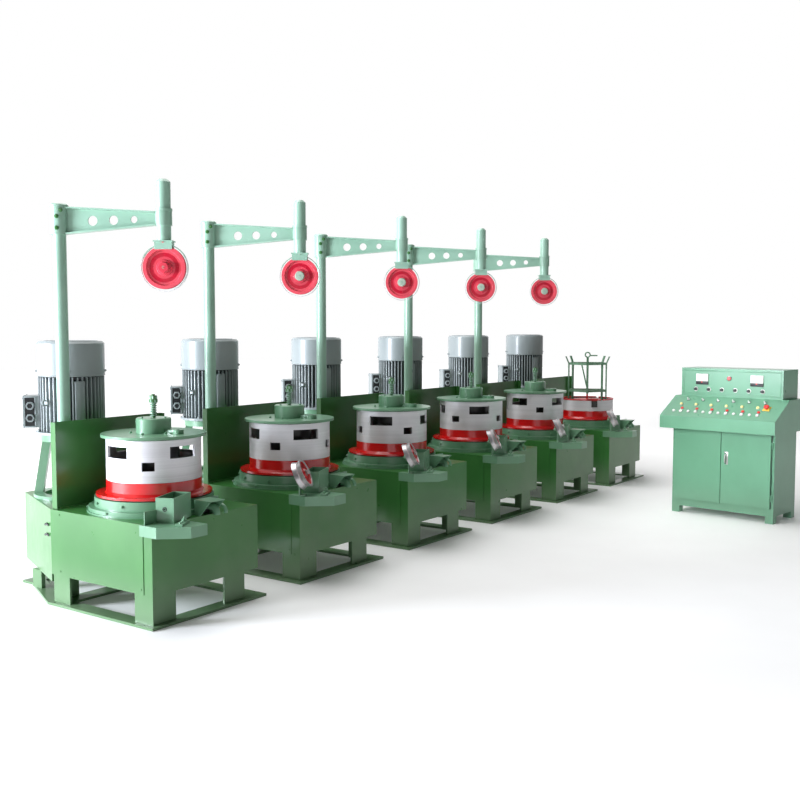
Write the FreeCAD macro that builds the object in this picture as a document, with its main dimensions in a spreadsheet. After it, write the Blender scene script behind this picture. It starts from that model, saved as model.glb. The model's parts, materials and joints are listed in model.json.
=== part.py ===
"""Wire drawing machine: a line of six pulley-type drawing blocks and its control console.

The origin is on the floor under the drum axis of block 1.  The line runs along +X, the
console stands in front of it at -Y, and the motors are at the back.  Millimetres, degrees.

Every block is the same set of pieces, so each piece is modelled once, about the drum axis,
and linked into place at the block pitch.
"""
import FreeCAD, Part
import math
import os
import re
import Sketcher

BLOCKS = 6
TAKE_UP = 6          # the last block collects the wire and has no overhead pulley
DRAWING = range(1, TAKE_UP)
EVERY = range(1, BLOCKS + 1)
GUIDED = range(2, BLOCKS + 1)
# the direction of a wide window on each drum, in degrees, as the drums stopped
WINDOWS = {1: "87", 2: "66", 3: "18", 4: "47", 5: "83"}

# name: (value, what it is)
SIZES = {
    "pitch": (1220, "drum axis to drum axis"),
    "box_width": (830, "block housing along the line"),
    "box_depth": (900, "block housing front to back"),
    "box_height": (392, "block housing"),
    "leg_height": (163, "under the housing"),
    "skid_thick": (15, "floor frame"),
    "skid_reach": (35, "floor frame beyond the housing"),
    "skid_width": (100, "floor frame bar"),
    "leg_wide": (166, "corner leg along the line"),
    "leg_deep": (151, "corner leg front to back"),
    "leg_thick": (14, "leg plate"),
    "leg_right": (119, "right legs in from the housing side"),
    "leg_rear": (19, "rear legs in from the housing back"),
    "anchor_hole": (14, "floor anchor hole"),
    "anchor_gap_y": (800, "floor anchors front to back"),
    "cover_margin": (70, "side cover in from the housing's front and back"),
    "cover_thick": (4, "side cover"),
    "rear_depth": (680, "rear housing behind the main one"),
    "rear_half_end": (126, "half width of the rear end"),
    "rear_low": (130, "underside of the rear housing"),
    "high_ring_lip": (9, "pedestal upper ring beyond the drum flange"),
    "low_ring_lip": (35, "pedestal lower ring beyond the upper one"),
    "base_ring_lip": (10, "pedestal base flange beyond the lower ring"),
    "low_ring_height": (30, "pedestal lower ring"),
    "high_ring_height": (56, "pedestal upper ring"),
    "flange_thick": (8, "pedestal base flange"),
    "shaft": (45, "drum shaft radius"),
    "running": (0.05, "radial clearance of a turning fit"),
    "turn_gap": (6, "gap under and over what turns"),
    "drum": (280, "drum shell radius"),
    "drum_wall": (14, "drum shell wall"),
    "ring_lip": (62, "red ring flange beyond the drum shell"),
    "ring_flange_thick": (14, "red ring flange"),
    "ring_height": (78, "red ring above its flange"),
    "shell_height": (246, "drum shell"),
    "short_shell": (113, "drum shell of the take-up block"),
    "rim_height": (13, "top rim of the take-up drum"),
    "core": (150, "inner core radius of a drum"),
    "window_span": (38, "upper shell window, degrees"),
    "window_low": (139, "upper shell window above the shell's foot"),
    "window_high": (69, "upper shell window height"),
    "slot_span": (15, "lower shell window, degrees"),
    "slot_low": (70, "lower shell window above the shell's foot"),
    "slot_high": (52, "lower shell window height"),
    "disc_lip": (30, "top disc beyond the drum shell"),
    "disc_thick": (17, "top disc"),
    "hub": (104, "top disc hub radius"),
    "hub_height": (90, "top disc hub"),
    "spindle": (10, "spindle radius"),
    "spindle_height": (141, "spindle above the hub"),
    "nut": (24, "spindle nut radius"),
    "guide_short": (120, "eye of the guide arm in from the disc's edge"),
    "guide_turn": (-82, "guide arm direction, degrees"),
    "plate_width": (840, "guard plate along the line"),
    "plate_height": (520, "guard plate"),
    "plate_thick": (5, "guard plate sheet"),
    "plate_side": (45, "guard plate side flange"),
    "plate_shift": (13, "guard plate middle from the drum axis"),
    "post": (39, "post radius"),
    "post_in": (151, "post in from the housing side"),
    "post_back": (55, "post behind the main housing"),
    "post_top": (2390, "post above the floor"),
    "collar": (52, "arm collar radius"),
    "collar_low": (2209, "arm collar above the floor"),
    "collar_height": (166, "arm collar"),
    "hanger_x": (52, "hanger axis from the drum axis along the line"),
    "hanger_y": (-62, "hanger axis in front of the drum axis"),
    "arm_thick": (10, "arm web"),
    "bush": (49, "hanger bush radius"),
    "bush_low": (2254, "hanger bush above the floor"),
    "bush_height": (86, "hanger bush"),
    "hanger": (42, "hanger tube radius"),
    "hanger_top": (2527, "hanger tube above the floor"),
    "yoke_over": (24, "yoke above the overhead pulley"),
    "wheel_z": (2007, "overhead pulley centre above the floor"),
    "wheel": (127, "overhead pulley radius"),
    "wheel_wide": (36, "overhead pulley rim"),
    "wheel_turn": (-54.6, "overhead pulley plane, degrees"),
    "groove": (14, "pulley groove depth"),
    "axle": (15, "pulley axle radius"),
    "yoke_gap": (5.5, "yoke and guard clear of the pulley"),
    "strap_thick": (5, "pulley guard strap"),
    "strap_wide": (22, "pulley guard strap"),
    "motor_back": (332, "motor axis behind the main housing"),
    "motor": (205, "motor body radius"),
    "motor_low": (974, "motor flange above the floor"),
    "motor_height": (371, "motor body"),
    "cowl_over": (4, "motor fan cowl over the motor body"),
    "cowl_height": (220, "motor fan cowl"),
    "terminal_height": (200, "terminal box"),
    "terminal_wide": (160, "terminal box"),
    "terminal_deep": (82, "terminal box out from the motor"),
    "terminal_low": (45, "terminal box above the motor's foot"),
    "terminal_turn": (-42, "terminal box round the motor from -X, degrees"),
    "gland": (25, "cable gland radius"),
    "gland_out": (16, "cable gland out of the terminal box"),
    "gland_gap": (78, "between the cable glands"),
    "stool_foot_lip": (42, "motor stool foot beyond the motor body"),
    "stool_head_lip": (-12, "motor stool head beyond the motor body"),
    "stool_plate": (22, "motor stool plates"),
    "stool_leg": (70, "motor stool leg, across"),
    "stool_leg_foot": (60, "motor stool leg at its foot, outwards"),
    "stool_leg_head": (52, "motor stool leg at its head, outwards"),
    "tray_thick": (6, "die tray sheet"),
    "tray_lip": (56, "die tray lip"),
    "tray_left": (35, "die tray beyond the housing side"),
    "tray_front": (215, "die tray beyond the housing front"),
    "tray_right": (209, "die tray front from the housing side"),
    "die_long": (225, "die box along the wire"),
    "die_wide": (108, "die box across the wire"),
    "die_high": (140, "die box"),
    "die_wall": (5, "die box sheet"),
    "die_turn": (23, "die box direction, degrees"),
    "die_x": (104, "first die box corner from the housing side"),
    "die_shift": (14, "later die boxes further along than the first"),
    "die_y": (-64, "die box corner from the housing front"),
    "wire_hole": (6, "wire hole radius in the die box"),
    "guide": (95, "guide pulley radius"),
    "guide_wide": (58, "guide pulley rim"),
    "guide_tilt": (25, "guide pulley tilt, degrees"),
    "guide_plane": (-62, "guide pulley axle direction, degrees"),
    "guide_x": (-22, "guide pulley foot from the housing side"),
    "guide_y": (-19, "guide pulley foot from the housing front"),
    "strip_thick": (8, "guide pulley bracket"),
    "strip_wide": (40, "guide pulley bracket"),
    "strip_height": (78, "guide pulley bracket upright"),
    "pipe": (19, "large water pipe radius"),
    "small_pipe": (11, "small water pipe radius"),
    "pipe_x": (447, "large water pipe from the housing side"),
    "small_pipe_x": (519, "small water pipe from the housing side"),
    "pipe_height": (45, "water pipes above the housing"),
    "pipe_bend": (35, "bend of the water pipes"),
    "hood_x": (359, "water cover from the housing side"),
    "hood_long": (114, "water cover along the line"),
    "hood_wall": (188, "back plate of the water cover along the line"),
    "hood_back": (48, "back of the water cover from the housing front"),
    "hood_out": (83, "lid of the water cover beyond the housing front"),
    "hood_high": (92, "water cover"),
    "hood_sheet": (4, "water cover sheet"),
    "desk_x": (4683, "console corner from the first drum axis"),
    "desk_y": (-1499, "console corner in front of the first drum axis"),
    "desk_turn": (-97.6, "console direction, degrees"),
    "cabinet_width": (926, "console cabinet"),
    "cabinet_depth": (450, "console cabinet"),
    "cabinet_top": (765, "console cabinet above the floor"),
    "cabinet_wall": (20, "console cabinet"),
    "foot_height": (60, "console feet"),
    "desk_width": (1040, "console desk"),
    "desk_reach": (150, "console desk in front of the cabinet"),
    "apron": (110, "console desk front edge"),
    "slope_run": (290, "console desk slope front to back"),
    "slope_rise": (165, "console desk slope"),
    "panel_height": (250, "console back panel"),
    "door_low": (130, "console doors above the floor"),
    "door_high": (620, "console doors"),
    "door_thick": (20, "console doors"),
    "door_gap": (6, "between the console doors"),
    "door_back": (4.5, "console doors in front of the cabinet"),
    "door_edge": (25, "door's hinged edge from the cabinet side"),
    "hinge_x": (16, "hinge pin from the cabinet side"),
    "hinge_out": (14.5, "hinge pin in front of the cabinet"),
    "hinge_pin": (2.5, "hinge pin radius"),
    "hinge_end": (60, "hinge from the door's end"),
    "knuckle": (6, "hinge knuckle radius"),
    "knuckle_high": (28, "hinge knuckle"),
    "cage": (214, "coil stripper ring radius"),
    "cage_low": (962, "coil stripper lower ring above the floor"),
    "cage_high": (1256, "coil stripper upper ring above the floor"),
    "cage_tip": (1336, "coil stripper bar tips above the floor"),
    "cage_flare": (34, "coil stripper tips outwards"),
    "cage_bar": (12, "coil stripper bar thickness"),
    "cage_wide": (24, "coil stripper bar width"),
    "cage_front": (205, "front bar of the coil stripper, degrees"),
    "hook": (26, "lifting hook radius"),
    "hook_bar": (7, "lifting hook bar radius"),
    "hook_height": (95, "lifting hook above the upper ring"),
    "catch_turn": (218, "wire catch on the take-up rim, degrees"),
    "catch_wide": (62, "wire catch tab"),
    "catch_drop": (70, "wire catch tab below the rim"),
    "catch_bar": (118, "wire catch bar on the rim"),
    "catch_thick": (8, "wire catch plate"),
}

# places and sizes that follow from the ones above
DERIVED = {
    "box_side": "box_width / 2",
    "box_face": "box_depth / 2",
    "leg_top": "skid_thick + leg_height",
    "box_top": "leg_top + box_height",
    "anchor_x": "box_side + skid_reach / 2",
    "rear_end": "box_face + rear_depth",
    "pedestal_top": "box_top + low_ring_height + high_ring_height",
    "ring_flange": "drum + ring_lip",
    "high_ring": "ring_flange + high_ring_lip",
    "low_ring": "high_ring + low_ring_lip",
    "base_ring": "low_ring + base_ring_lip",
    "cover_depth": "box_depth - 2 * cover_margin",
    "drum_low": "pedestal_top + turn_gap",
    "ring_low": "drum_low + ring_flange_thick",
    "shell_low": "ring_low + ring_height",
    "shell_top": "shell_low + shell_height",
    "short_top": "shell_low + short_shell",
    "disc": "drum + disc_lip",
    "guide_reach": "disc - guide_short",
    "disc_low": "shell_top + turn_gap",
    "disc_top": "disc_low + disc_thick",
    "hub_top": "disc_top + hub_height",
    "motor_y": "box_face + motor_back",
    "cowl": "motor + cowl_over",
    "cowl_low": "motor_low + motor_height",
    "stool_foot": "motor + stool_foot_lip",
    "stool_head": "motor + stool_head_lip",
    "post_x": "post_in - box_side",
    "post_y": "box_face + post_back",
    "arm_length": "hypot(hanger_x - post_x; hanger_y - post_y)",
    "arm_turn": "atan2(hanger_y - post_y; hanger_x - post_x)",
    "bush_top": "bush_low + bush_height",
    "yoke_top": "wheel_z + wheel + yoke_over",
    "strap": "wheel + yoke_gap + 4",
    "cheek_in": "wheel_wide / 2 + yoke_gap",
    "cheek_out": "cheek_in + 10",
    "tray_top": "box_top + tray_thick",
    "apron_top": "cabinet_top + apron",
    "slope_top": "apron_top + slope_rise",
    "panel_y": "slope_run - desk_reach",
    "door_wide": "(cabinet_width - 2 * door_edge - door_gap) / 2",
    "cage_foot": "short_top - 18",
}

doc = FreeCAD.newDocument("WireDrawingMachine")
sheet = doc.addObject("Spreadsheet::Sheet", "Sizes")
nodes = []


def fill_sheet():
    """One row per size: its name, its value under an alias, and what it is."""
    for row, (name, (value, meaning)) in enumerate(SIZES.items(), start=1):
        sheet.set("A%d" % row, name)
        sheet.set("B%d" % row, str(value))
        sheet.setAlias("B%d" % row, name)
        sheet.set("C%d" % row, meaning)
    doc.recompute()


def formula(text):
    """Spell a sum of size names as an expression on the sheet."""
    def spell(found):
        word = found.group(0)
        if word in DERIVED:
            return "(" + formula(DERIVED[word]) + ")"
        if word in SIZES:
            return "Sizes." + word
        return word
    return re.sub(r"[a-z_][a-z_0-9]*", spell, str(text))


def bind(thing, **sums):
    """Bind properties to sums of sizes; x, y, z and turn stand for the placement's parts."""
    places = {"x": "Placement.Base.x", "y": "Placement.Base.y", "z": "Placement.Base.z",
              "turn": "Placement.Rotation.Angle"}
    for name, text in sums.items():
        thing.setExpression(places.get(name, name), formula(text))
    return thing


def turned_to(thing, axis, angle):
    thing.Placement.Rotation = FreeCAD.Rotation(FreeCAD.Vector(*axis), angle)
    return thing


def box(dx, dy, dz, x=0, y=0, z=0):
    """A block with its low corner at x, y, z."""
    thing = doc.addObject("Part::Box", "Block")
    return bind(thing, Length=dx, Width=dy, Height=dz, x=x, y=y, z=z)


def rod(radius, height, x=0, y=0, z=0, along="z"):
    """A cylinder from x, y, z along one axis."""
    thing = doc.addObject("Part::Cylinder", "Rod")
    tilt = {"z": ((0, 0, 1), 0), "x": ((0, 1, 0), 90), "y": ((1, 0, 0), -90)}[along]
    turned_to(thing, *tilt)
    return bind(thing, Radius=radius, Height=height, x=x, y=y, z=z)


def join(*pieces):
    thing = doc.addObject("Part::MultiFuse", "Joined")
    thing.Shapes = list(pieces)
    return thing


def cut(base, *tools):
    thing = doc.addObject("Part::Cut", "Cut")
    thing.Base = base
    thing.Tool = tools[0] if len(tools) == 1 else join(*tools)
    return thing


def ring(outer, inner, height, z, x=0, y=0):
    return cut(rod(outer, height, x, y, z), rod(inner, height, x, y, z))


def draw(body, plane, corners, circles=()):
    """A sketch on one of a body's own planes: a closed outline of corners, and holes."""
    sketch = body.newObject("Sketcher::SketchObject", "Outline")
    faces = {face.Role: face for face in body.Origin.OriginFeatures}
    sketch.AttachmentSupport = [(faces[plane], "")]
    sketch.MapMode = "FlatFace"
    count = len(corners)
    for number in range(count):
        start = FreeCAD.Vector(math.cos(number), math.sin(number), 0)
        end = FreeCAD.Vector(math.cos(number + 1), math.sin(number + 1), 0)
        sketch.addGeometry(Part.LineSegment(start * 100, end * 100), False)
    for number in range(count):
        sketch.addConstraint(Sketcher.Constraint("Coincident", number, 2, (number + 1) % count, 1))
    for number, corner in enumerate(corners):
        pin(sketch, number, 1, corner)
    for place_x, place_y, radius in circles:
        circle = Part.Circle(FreeCAD.Vector(0, 0, 0), FreeCAD.Vector(0, 0, 1), 5)
        number = sketch.addGeometry(circle, False)
        pin(sketch, number, 3, (place_x, place_y))
        row = sketch.addConstraint(Sketcher.Constraint("Radius", number, 5.0))
        sketch.setExpression("Constraints[%d]" % row, formula(radius))
    return sketch


def pin(sketch, number, end, place):
    """Fix one point of a sketch at a place given as two sums."""
    for kind, text in zip(("DistanceX", "DistanceY"), place):
        constraint = Sketcher.Constraint(kind, -1, 1, number, end, 1.0)
        row = sketch.addConstraint(constraint)
        sketch.setExpression("Constraints[%d]" % row, formula(text))


def prism(plane, corners, length, circles=(), middle=False):
    """A body padded from an outline; its holes go right through."""
    body = doc.addObject("PartDesign::Body", "Prism")
    pad = body.newObject("PartDesign::Pad", "Pad")
    pad.Profile = draw(body, plane, corners, circles)
    pad.Midplane = middle
    bind(pad, Length=length)
    body.Tip = pad
    return body


def spun(corners):
    """A body turned about Z from an outline of radius and height."""
    body = doc.addObject("PartDesign::Body", "Turned")
    profile = draw(body, "XZ_Plane", corners)
    turn = body.newObject("PartDesign::Revolution", "Revolution")
    turn.Profile = profile
    turn.ReferenceAxis = (profile, ["V_Axis"])
    turn.Angle = 360
    body.Tip = turn
    return body


def copy_of(piece, x=0, y=0, z=0, turn=0):
    """A link to a piece, moved and turned about Z."""
    link = doc.addObject("App::Link", "Copy")
    link.LinkedObject = piece
    link.LinkTransform = True
    turned_to(link, (0, 0, 1), 0)
    return bind(link, x=x, y=y, z=z, turn=turn)


def around(piece, count, first="0"):
    """Copies of a piece at even steps about Z."""
    return [copy_of(piece, turn="%s + %d * 360 / %d" % (first, step, count))
            for step in range(count)]


def node(name, *pieces):
    """A named sub-part of the machine."""
    thing = doc.addObject("Part::Compound", name)
    thing.Label = name
    thing.Links = list(pieces)
    nodes.append(thing)
    return thing


def at_block(piece, number, turn=0):
    return copy_of(piece, x="%d * pitch" % (number - 1), turn=turn)


def on_blocks(name, blocks, *pieces):
    """One sub-part that holds a set of pieces on each of several blocks."""
    node(name, *[at_block(piece, number) for number in blocks for piece in pieces])


def mirrored(corners):
    """An outline's corners on -X, followed by the same corners on +X."""
    return corners + [("-(%s)" % x, y) for x, y in reversed(corners)]


# ---------------------------------------------------------------- base and housings

def cross_bars():
    """Front, middle and end bars of the floor frame, with the four anchor holes."""
    left = "-box_side - skid_reach"
    front = "-box_face - skid_reach"
    middle = "box_face - leg_rear - skid_width"
    holes = [rod("anchor_hole / 2", "skid_thick", side + "anchor_x", end + "anchor_gap_y / 2")
             for side in ("-", "") for end in ("-", "")]
    whole = "2 * box_side + 2 * skid_reach"
    end_bar = box("2 * rear_half_end + 2 * skid_width", "skid_width", "skid_thick",
                  "-rear_half_end - skid_width", "rear_end - 2 * skid_width")
    return [cut(box(whole, "skid_width", "skid_thick", left, front), *holes[::2]),
            cut(box(whole, "box_face - (%s)" % middle, "skid_thick", left, middle), *holes[1::2]),
            end_bar]


def side_bars():
    """Straight bars under the housing's sides, and slanted ones under the rear housing."""
    left = "-box_side - skid_reach"
    front = "-box_face - skid_reach + skid_width"
    reach = "(box_face - leg_rear - skid_width) - (%s)" % front
    far = "rear_end - 2 * skid_width"
    slanted = [prism("XY_Plane", [(side + "(%s)" % x, y) for x, y in
                                  ((left, "box_face"), (left + " + skid_width", "box_face"),
                                   ("-rear_half_end", far), ("-rear_half_end - skid_width", far))],
                     "skid_thick") for side in ("", "-")]
    straight = [box("skid_width", reach, "skid_thick", x, front)
                for x in (left, "box_side + skid_reach - skid_width")]
    return straight + slanted


def corner_leg(x_out, y_out, x_sign, y_sign):
    """Angle leg: two plates that meet at the outer corner x_out, y_out."""
    def low(out, sign, size):
        return out if sign > 0 else "%s - %s" % (out, size)
    along = box("leg_wide", "leg_thick", "leg_height",
                low(x_out, x_sign, "leg_wide"), low(y_out, y_sign, "leg_thick"), "skid_thick")
    across = box("leg_thick", "leg_deep", "leg_height",
                 low(x_out, x_sign, "leg_thick"), low(y_out, y_sign, "leg_deep"), "skid_thick")
    return [along, across]


def rear_leg(side):
    """Plate leg on the slanted part of the floor frame, up to the rear housing."""
    reach = "rear_half_end + (box_side - rear_half_end) * 0.5"
    return box("leg_thick * 2", "90", "rear_low - skid_thick",
               "%s(%s) - leg_thick" % (side, reach), "box_face + rear_depth * 0.5 - 45", "skid_thick")


def legs():
    """Four angle legs under the housing and two plate legs under the rear housing."""
    corners = [join(*corner_leg(x_out, y_out, x_sign, y_sign))
               for x_out, x_sign in (("-box_side", 1), ("box_side - leg_right", -1))
               for y_out, y_sign in (("-box_face", 1), ("box_face - leg_rear", -1))]
    return corners + [rear_leg("-"), rear_leg("")]


def housing():
    body = box("box_width", "box_depth", "box_height", "-box_side", "-box_face", "leg_top")
    return body


def side_cover():
    return box("cover_thick", "cover_depth", "box_height",
               "-box_side - cover_thick", "-cover_depth / 2", "leg_top")


def rear_housing():
    plan = mirrored([("-box_side", "box_face"), ("-rear_half_end", "rear_end")])
    shell = prism("XY_Plane", plan, "box_top - rear_low")
    shell.Placement.Base.z = 0
    return bind(shell, z="rear_low")


def pedestal():
    """Stepped ring under the drum, bored for the drum shaft."""
    bore = "shaft + running"
    return spun([(bore, "box_top"), ("base_ring", "box_top"),
                 ("base_ring", "box_top + flange_thick"), ("low_ring", "box_top + flange_thick"),
                 ("low_ring", "box_top + low_ring_height"),
                 ("high_ring", "box_top + low_ring_height"),
                 ("high_ring", "pedestal_top"), (bore, "pedestal_top")])


# ---------------------------------------------------------------- drums and discs

def drum(top, spindle_top):
    """Red ring with its flange, web, core, shaft and spindle in one turned piece."""
    inside = "drum - drum_wall"
    return spun([("0", "box_top + flange_thick"), ("shaft", "box_top + flange_thick"),
                 ("shaft", "drum_low"), ("ring_flange", "drum_low"),
                 ("ring_flange", "ring_low"), ("drum + 12", "ring_low"),
                 ("drum + 2", "ring_low + 14"), ("drum + 2", "shell_low"),
                 (inside, "shell_low"), (inside, "ring_low + 6"),
                 ("core", "ring_low + 6"), ("core", top), ("spindle", top),
                 ("spindle", spindle_top), ("0", spindle_top)])


def spindle_nut():
    """Two lock nuts at the top of the spindle."""
    low = "hub_top + spindle_height - 49"
    return cut(rod("nut", "40", z=low), rod("spindle", "40", z=low))


def window(span, low, height):
    """A curved slot through the shell wall, centred on +X."""
    half = "(%s) / 2" % span
    reach = "(drum + 30)"
    plan = [("0", "0"), ("%s / cos(%s) * cos(%s)" % (reach, half, half), "-%s * tan(%s)" % (reach, half)),
            (reach, "%s * tan(%s)" % (reach, half))]
    wedge = prism("XY_Plane", plan, height)
    return bind(wedge, z="shell_low + " + low)


def shell():
    """Silver drum shell with four wide windows and four small ones between them."""
    wide = window("window_span", "window_low", "window_high")
    small = window("slot_span", "slot_low", "slot_high")
    return cut(ring("drum", "drum - drum_wall", "shell_height", "shell_low"),
               *around(wide, 4), *around(small, 4, "45"))


def short_shell():
    return ring("drum", "drum - drum_wall", "short_shell", "shell_low")


def take_up_rim():
    """Red rim with three finger slots, and the catch that the wire end is held in."""
    rim = ring("drum + 3", "drum - drum_wall - 8", "rim_height", "short_top")
    slot = box("60", "34", "rim_height", "drum - 40", "-17", "short_top")
    bar = box("30", "catch_bar", "catch_thick", "drum - 22", "-catch_bar / 2 - 8", "short_top + rim_height")
    tab = box("catch_thick", "catch_wide", "catch_drop + rim_height + catch_thick",
              "drum + 3", "-catch_wide / 2 + 12", "short_top - catch_drop")
    return join(cut(rim, *around(slot, 3)), copy_of(join(bar, tab), turn="catch_turn"))


def take_up_plate():
    """Flat top inside the take-up drum."""
    return ring("drum - drum_wall", "core", "12", "short_top - 30")


def disc():
    """Top disc and hub, bored for the spindle."""
    bore = "spindle + running"
    return spun([(bore, "disc_low"), ("disc", "disc_low"), ("disc", "disc_top"),
                 ("hub", "disc_top"), ("hub", "hub_top - 6"), ("hub - 6", "hub_top"),
                 (bore, "hub_top")])


def guide_arm():
    """Bar from the hub out over the disc, ending in the eye that leads the wire off."""
    bar = box("guide_reach - 40", "34", "22", "40", "-17", "disc_top")
    eye = cut(rod("30", "26", "guide_reach", "0", "disc_top"),
              rod("13", "26", "guide_reach", "0", "disc_top"))
    return turned_to(join(bar, eye), (0, 0, 1), 0)


def top_disc():
    return join(disc(), cut(copy_of(guide_arm(), turn="guide_turn"),
                            rod("hub - 2", "60", z="disc_top")))


# ---------------------------------------------------------------- guard, post, arm, pulley

def guard_plate():
    """Upright sheet with a side flange at each end and a foot flange along the bottom."""
    left = "plate_shift - plate_width / 2"
    back = "box_face - 10"
    sheet_part = box("plate_width", "plate_thick", "plate_height", left, back + " - plate_thick", "box_top")
    flanges = [box("plate_thick", "plate_side", "plate_height", x, back + " - plate_side", "box_top")
               for x in (left, "plate_shift + plate_width / 2 - plate_thick")]
    foot = box("box_side - plate_shift + plate_width / 2 - 45", "30", "plate_thick", left, back + " - 30", "box_top")
    return join(sheet_part, foot, *flanges)


def post():
    foot = box("2 * post + 26", "2 * post + 26", "12", "post_x - post - 13", "post_y - post - 8", "box_top")
    return join(foot, rod("post", "post_top - box_top", "post_x", "post_y", "box_top"))


def arm():
    """Tapered web with three holes and two flanges, from the post collar to the hanger bush."""
    reach = "arm_length - bush + 4"
    start = "collar - 6"
    rise = "bush_low + 6"
    web = prism("XZ_Plane", [(start, "collar_low + 4"), (reach, rise),
                             (reach, "bush_low + bush_height - 6"),
                             (start, "collar_low + collar_height - 6")], "arm_thick",
                [("arm_length * 0.325", "bush_low + 34", "30"),
                 ("arm_length * 0.525", "bush_low + 36", "28"),
                 ("arm_length * 0.72", "bush_low + 39", "21")], middle=True)
    top = prism("XZ_Plane", [(start, "collar_low + collar_height - 12"), (reach, "bush_top - 12"),
                             (reach, "bush_top - 2"), (start, "collar_low + collar_height - 2")],
                "54", middle=True)
    low = prism("XZ_Plane", [(start, "collar_low"), (reach, "bush_low + 2"),
                             (reach, "bush_low + 12"), (start, "collar_low + 10")],
                "54", middle=True)
    ends = [rod("collar", "collar_height", z="collar_low"),
            rod("bush", "bush_height", "arm_length", z="bush_low")]
    bores = [rod("post + 0.1", "collar_height", z="collar_low"),
             rod("hanger + running", "bush_height", "arm_length", z="bush_low")]
    whole = cut(join(web, top, low, *ends), *bores)
    return copy_of(whole, "post_x", "post_y", turn="arm_turn")


def hanger():
    """Swivelling tube with its yoke, back cheek, axle, nut and guard strap.

    Modelled about the tube axis, with the pulley plane along X and the front at -Y.
    """
    tube = rod("hanger", "hanger_top - 30 - yoke_top", z="yoke_top")
    cap = spun([("0", "hanger_top - 30"), ("hanger", "hanger_top - 30"),
                ("hanger", "hanger_top - 16"), ("hanger - 16", "hanger_top"), ("0", "hanger_top")])
    collar = ring("hanger + 9", "hanger", "14", "bush_top + 0.5")
    plate = box("116", "2 * cheek_out + 20", "8", "-58", "-cheek_out - 10", "yoke_top")
    yoke = box("104", "2 * cheek_out", "44", "-52", "-cheek_out", "yoke_top - 44")
    cheek = box("64", "10", "yoke_top - wheel_z + 34", "-32", "cheek_in", "wheel_z - 34")
    strap = cut(rod("strap + strap_thick", "strap_wide", y="-strap_wide / 2", z="wheel_z", along="y"),
                rod("strap", "strap_wide", y="-strap_wide / 2", z="wheel_z", along="y"))
    room = rod("wheel + yoke_gap", "2 * cheek_in", y="-cheek_in", z="wheel_z", along="y")
    axle = rod("axle", "2 * cheek_in + 24", y="-cheek_in - 20", z="wheel_z", along="y")
    nut = rod("25", "14", y="-cheek_in - 14", z="wheel_z", along="y")
    frame = cut(join(tube, cap, collar, plate, yoke, cheek, strap), room)
    return join(frame, axle, nut)


def pulley(radius, wide, bore, depth):
    """Grooved pulley turned about Z: rim, recess, web, hub and boss, the same on both faces."""
    profile = [(bore, "{w} / 2"), ("{r} * 0.28", "{w} / 2"), ("{r} * 0.30", "{w} / 2 - 3"),
               ("{r} * 0.34", "{w} / 2 - 3"), ("{r} * 0.38", "{w} * 0.18"),
               ("{r} * 0.80", "{w} * 0.18"), ("{r} * 0.84", "{w} / 2"), ("{r}", "{w} / 2")]
    top = [(a.format(r=radius, w=wide), b.format(r=radius, w=wide)) for a, b in profile]
    low = [(a, "-(%s)" % b) for a, b in reversed(top)]
    middle = [("%s - %s" % (radius, depth), "0")]
    return spun(top + middle + low)


def overhead_pulley():
    wheel = pulley("wheel", "wheel_wide", "axle + running", "groove")
    turned_to(wheel, (1, 0, 0), 90)
    bind(wheel, z="wheel_z")
    return wheel


def on_hanger(piece, number):
    return copy_of(piece, "%d * pitch + hanger_x" % (number - 1), "hanger_y", turn="wheel_turn")


# ---------------------------------------------------------------- motors

def motor_frame():
    """Flange motor body standing on its shaft end."""
    return spun([("0", "motor_low"), ("motor + 20", "motor_low"), ("motor + 20", "motor_low + 18"),
                 ("motor", "motor_low + 18"), ("motor", "cowl_low"), ("0", "cowl_low")])


def motor_cowl():
    return spun([("0", "cowl_low"), ("cowl", "cowl_low"), ("cowl", "cowl_low + cowl_height - 14"),
                 ("cowl - 14", "cowl_low + cowl_height"), ("0", "cowl_low + cowl_height")])


def terminal_box():
    """Box on the side of the motor with two cable glands, one above the other."""
    low = "motor_low + terminal_low"
    case = cut(box("terminal_deep + 40", "terminal_wide", "terminal_height",
                   "-motor - terminal_deep", "-terminal_wide / 2", low),
               rod("motor + 0.1", "motor_height", z="motor_low"))
    middle = "%s + terminal_height / 2" % low
    glands = [rod("gland", "gland_out", "-motor - terminal_deep / 2", "-terminal_wide / 2 - gland_out",
                  "%s %s gland_gap / 2" % (middle, sign), along="y") for sign in ("-", "+")]
    return copy_of(join(case, *glands), turn="terminal_turn")


def motor_stool():
    """Foot ring, four splayed plates and the head ring that carries the motor."""
    foot = ring("stool_foot", "stool_foot - 70", "stool_plate", "box_top")
    head = ring("stool_head", "stool_head - 80", "stool_plate * 2", "motor_low - stool_plate * 2")
    low = "box_top + stool_plate - 1"
    high = "motor_low - stool_plate * 2 + 1"
    leg = prism("XZ_Plane", [("stool_foot - stool_leg_foot", low), ("stool_foot - 6", low),
                             ("stool_head - 10", high), ("stool_head - 10 - stool_leg_head", high)],
                "stool_leg", middle=True)
    return join(foot, head, *around(leg, 4, "45"))


def on_motor(piece):
    return copy_of(piece, y="motor_y")


# ---------------------------------------------------------------- die tray and its fittings

def tray_points(inset):
    """The tray's outer edge at the housing's front left corner, moved in by an inset."""
    left = "-box_side - tray_left + %s" % inset
    front = "-box_face - tray_front + %s" % inset
    return [(left, "-box_face + 60"),
            (left, "-box_face - 77 + %s * 0.4" % inset),
            ("-box_side + 89 + %s * 0.4" % inset, front),
            ("-box_side + tray_right - %s" % inset, front),
            ("-box_side + tray_right - %s" % inset, "-box_face")]


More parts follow.
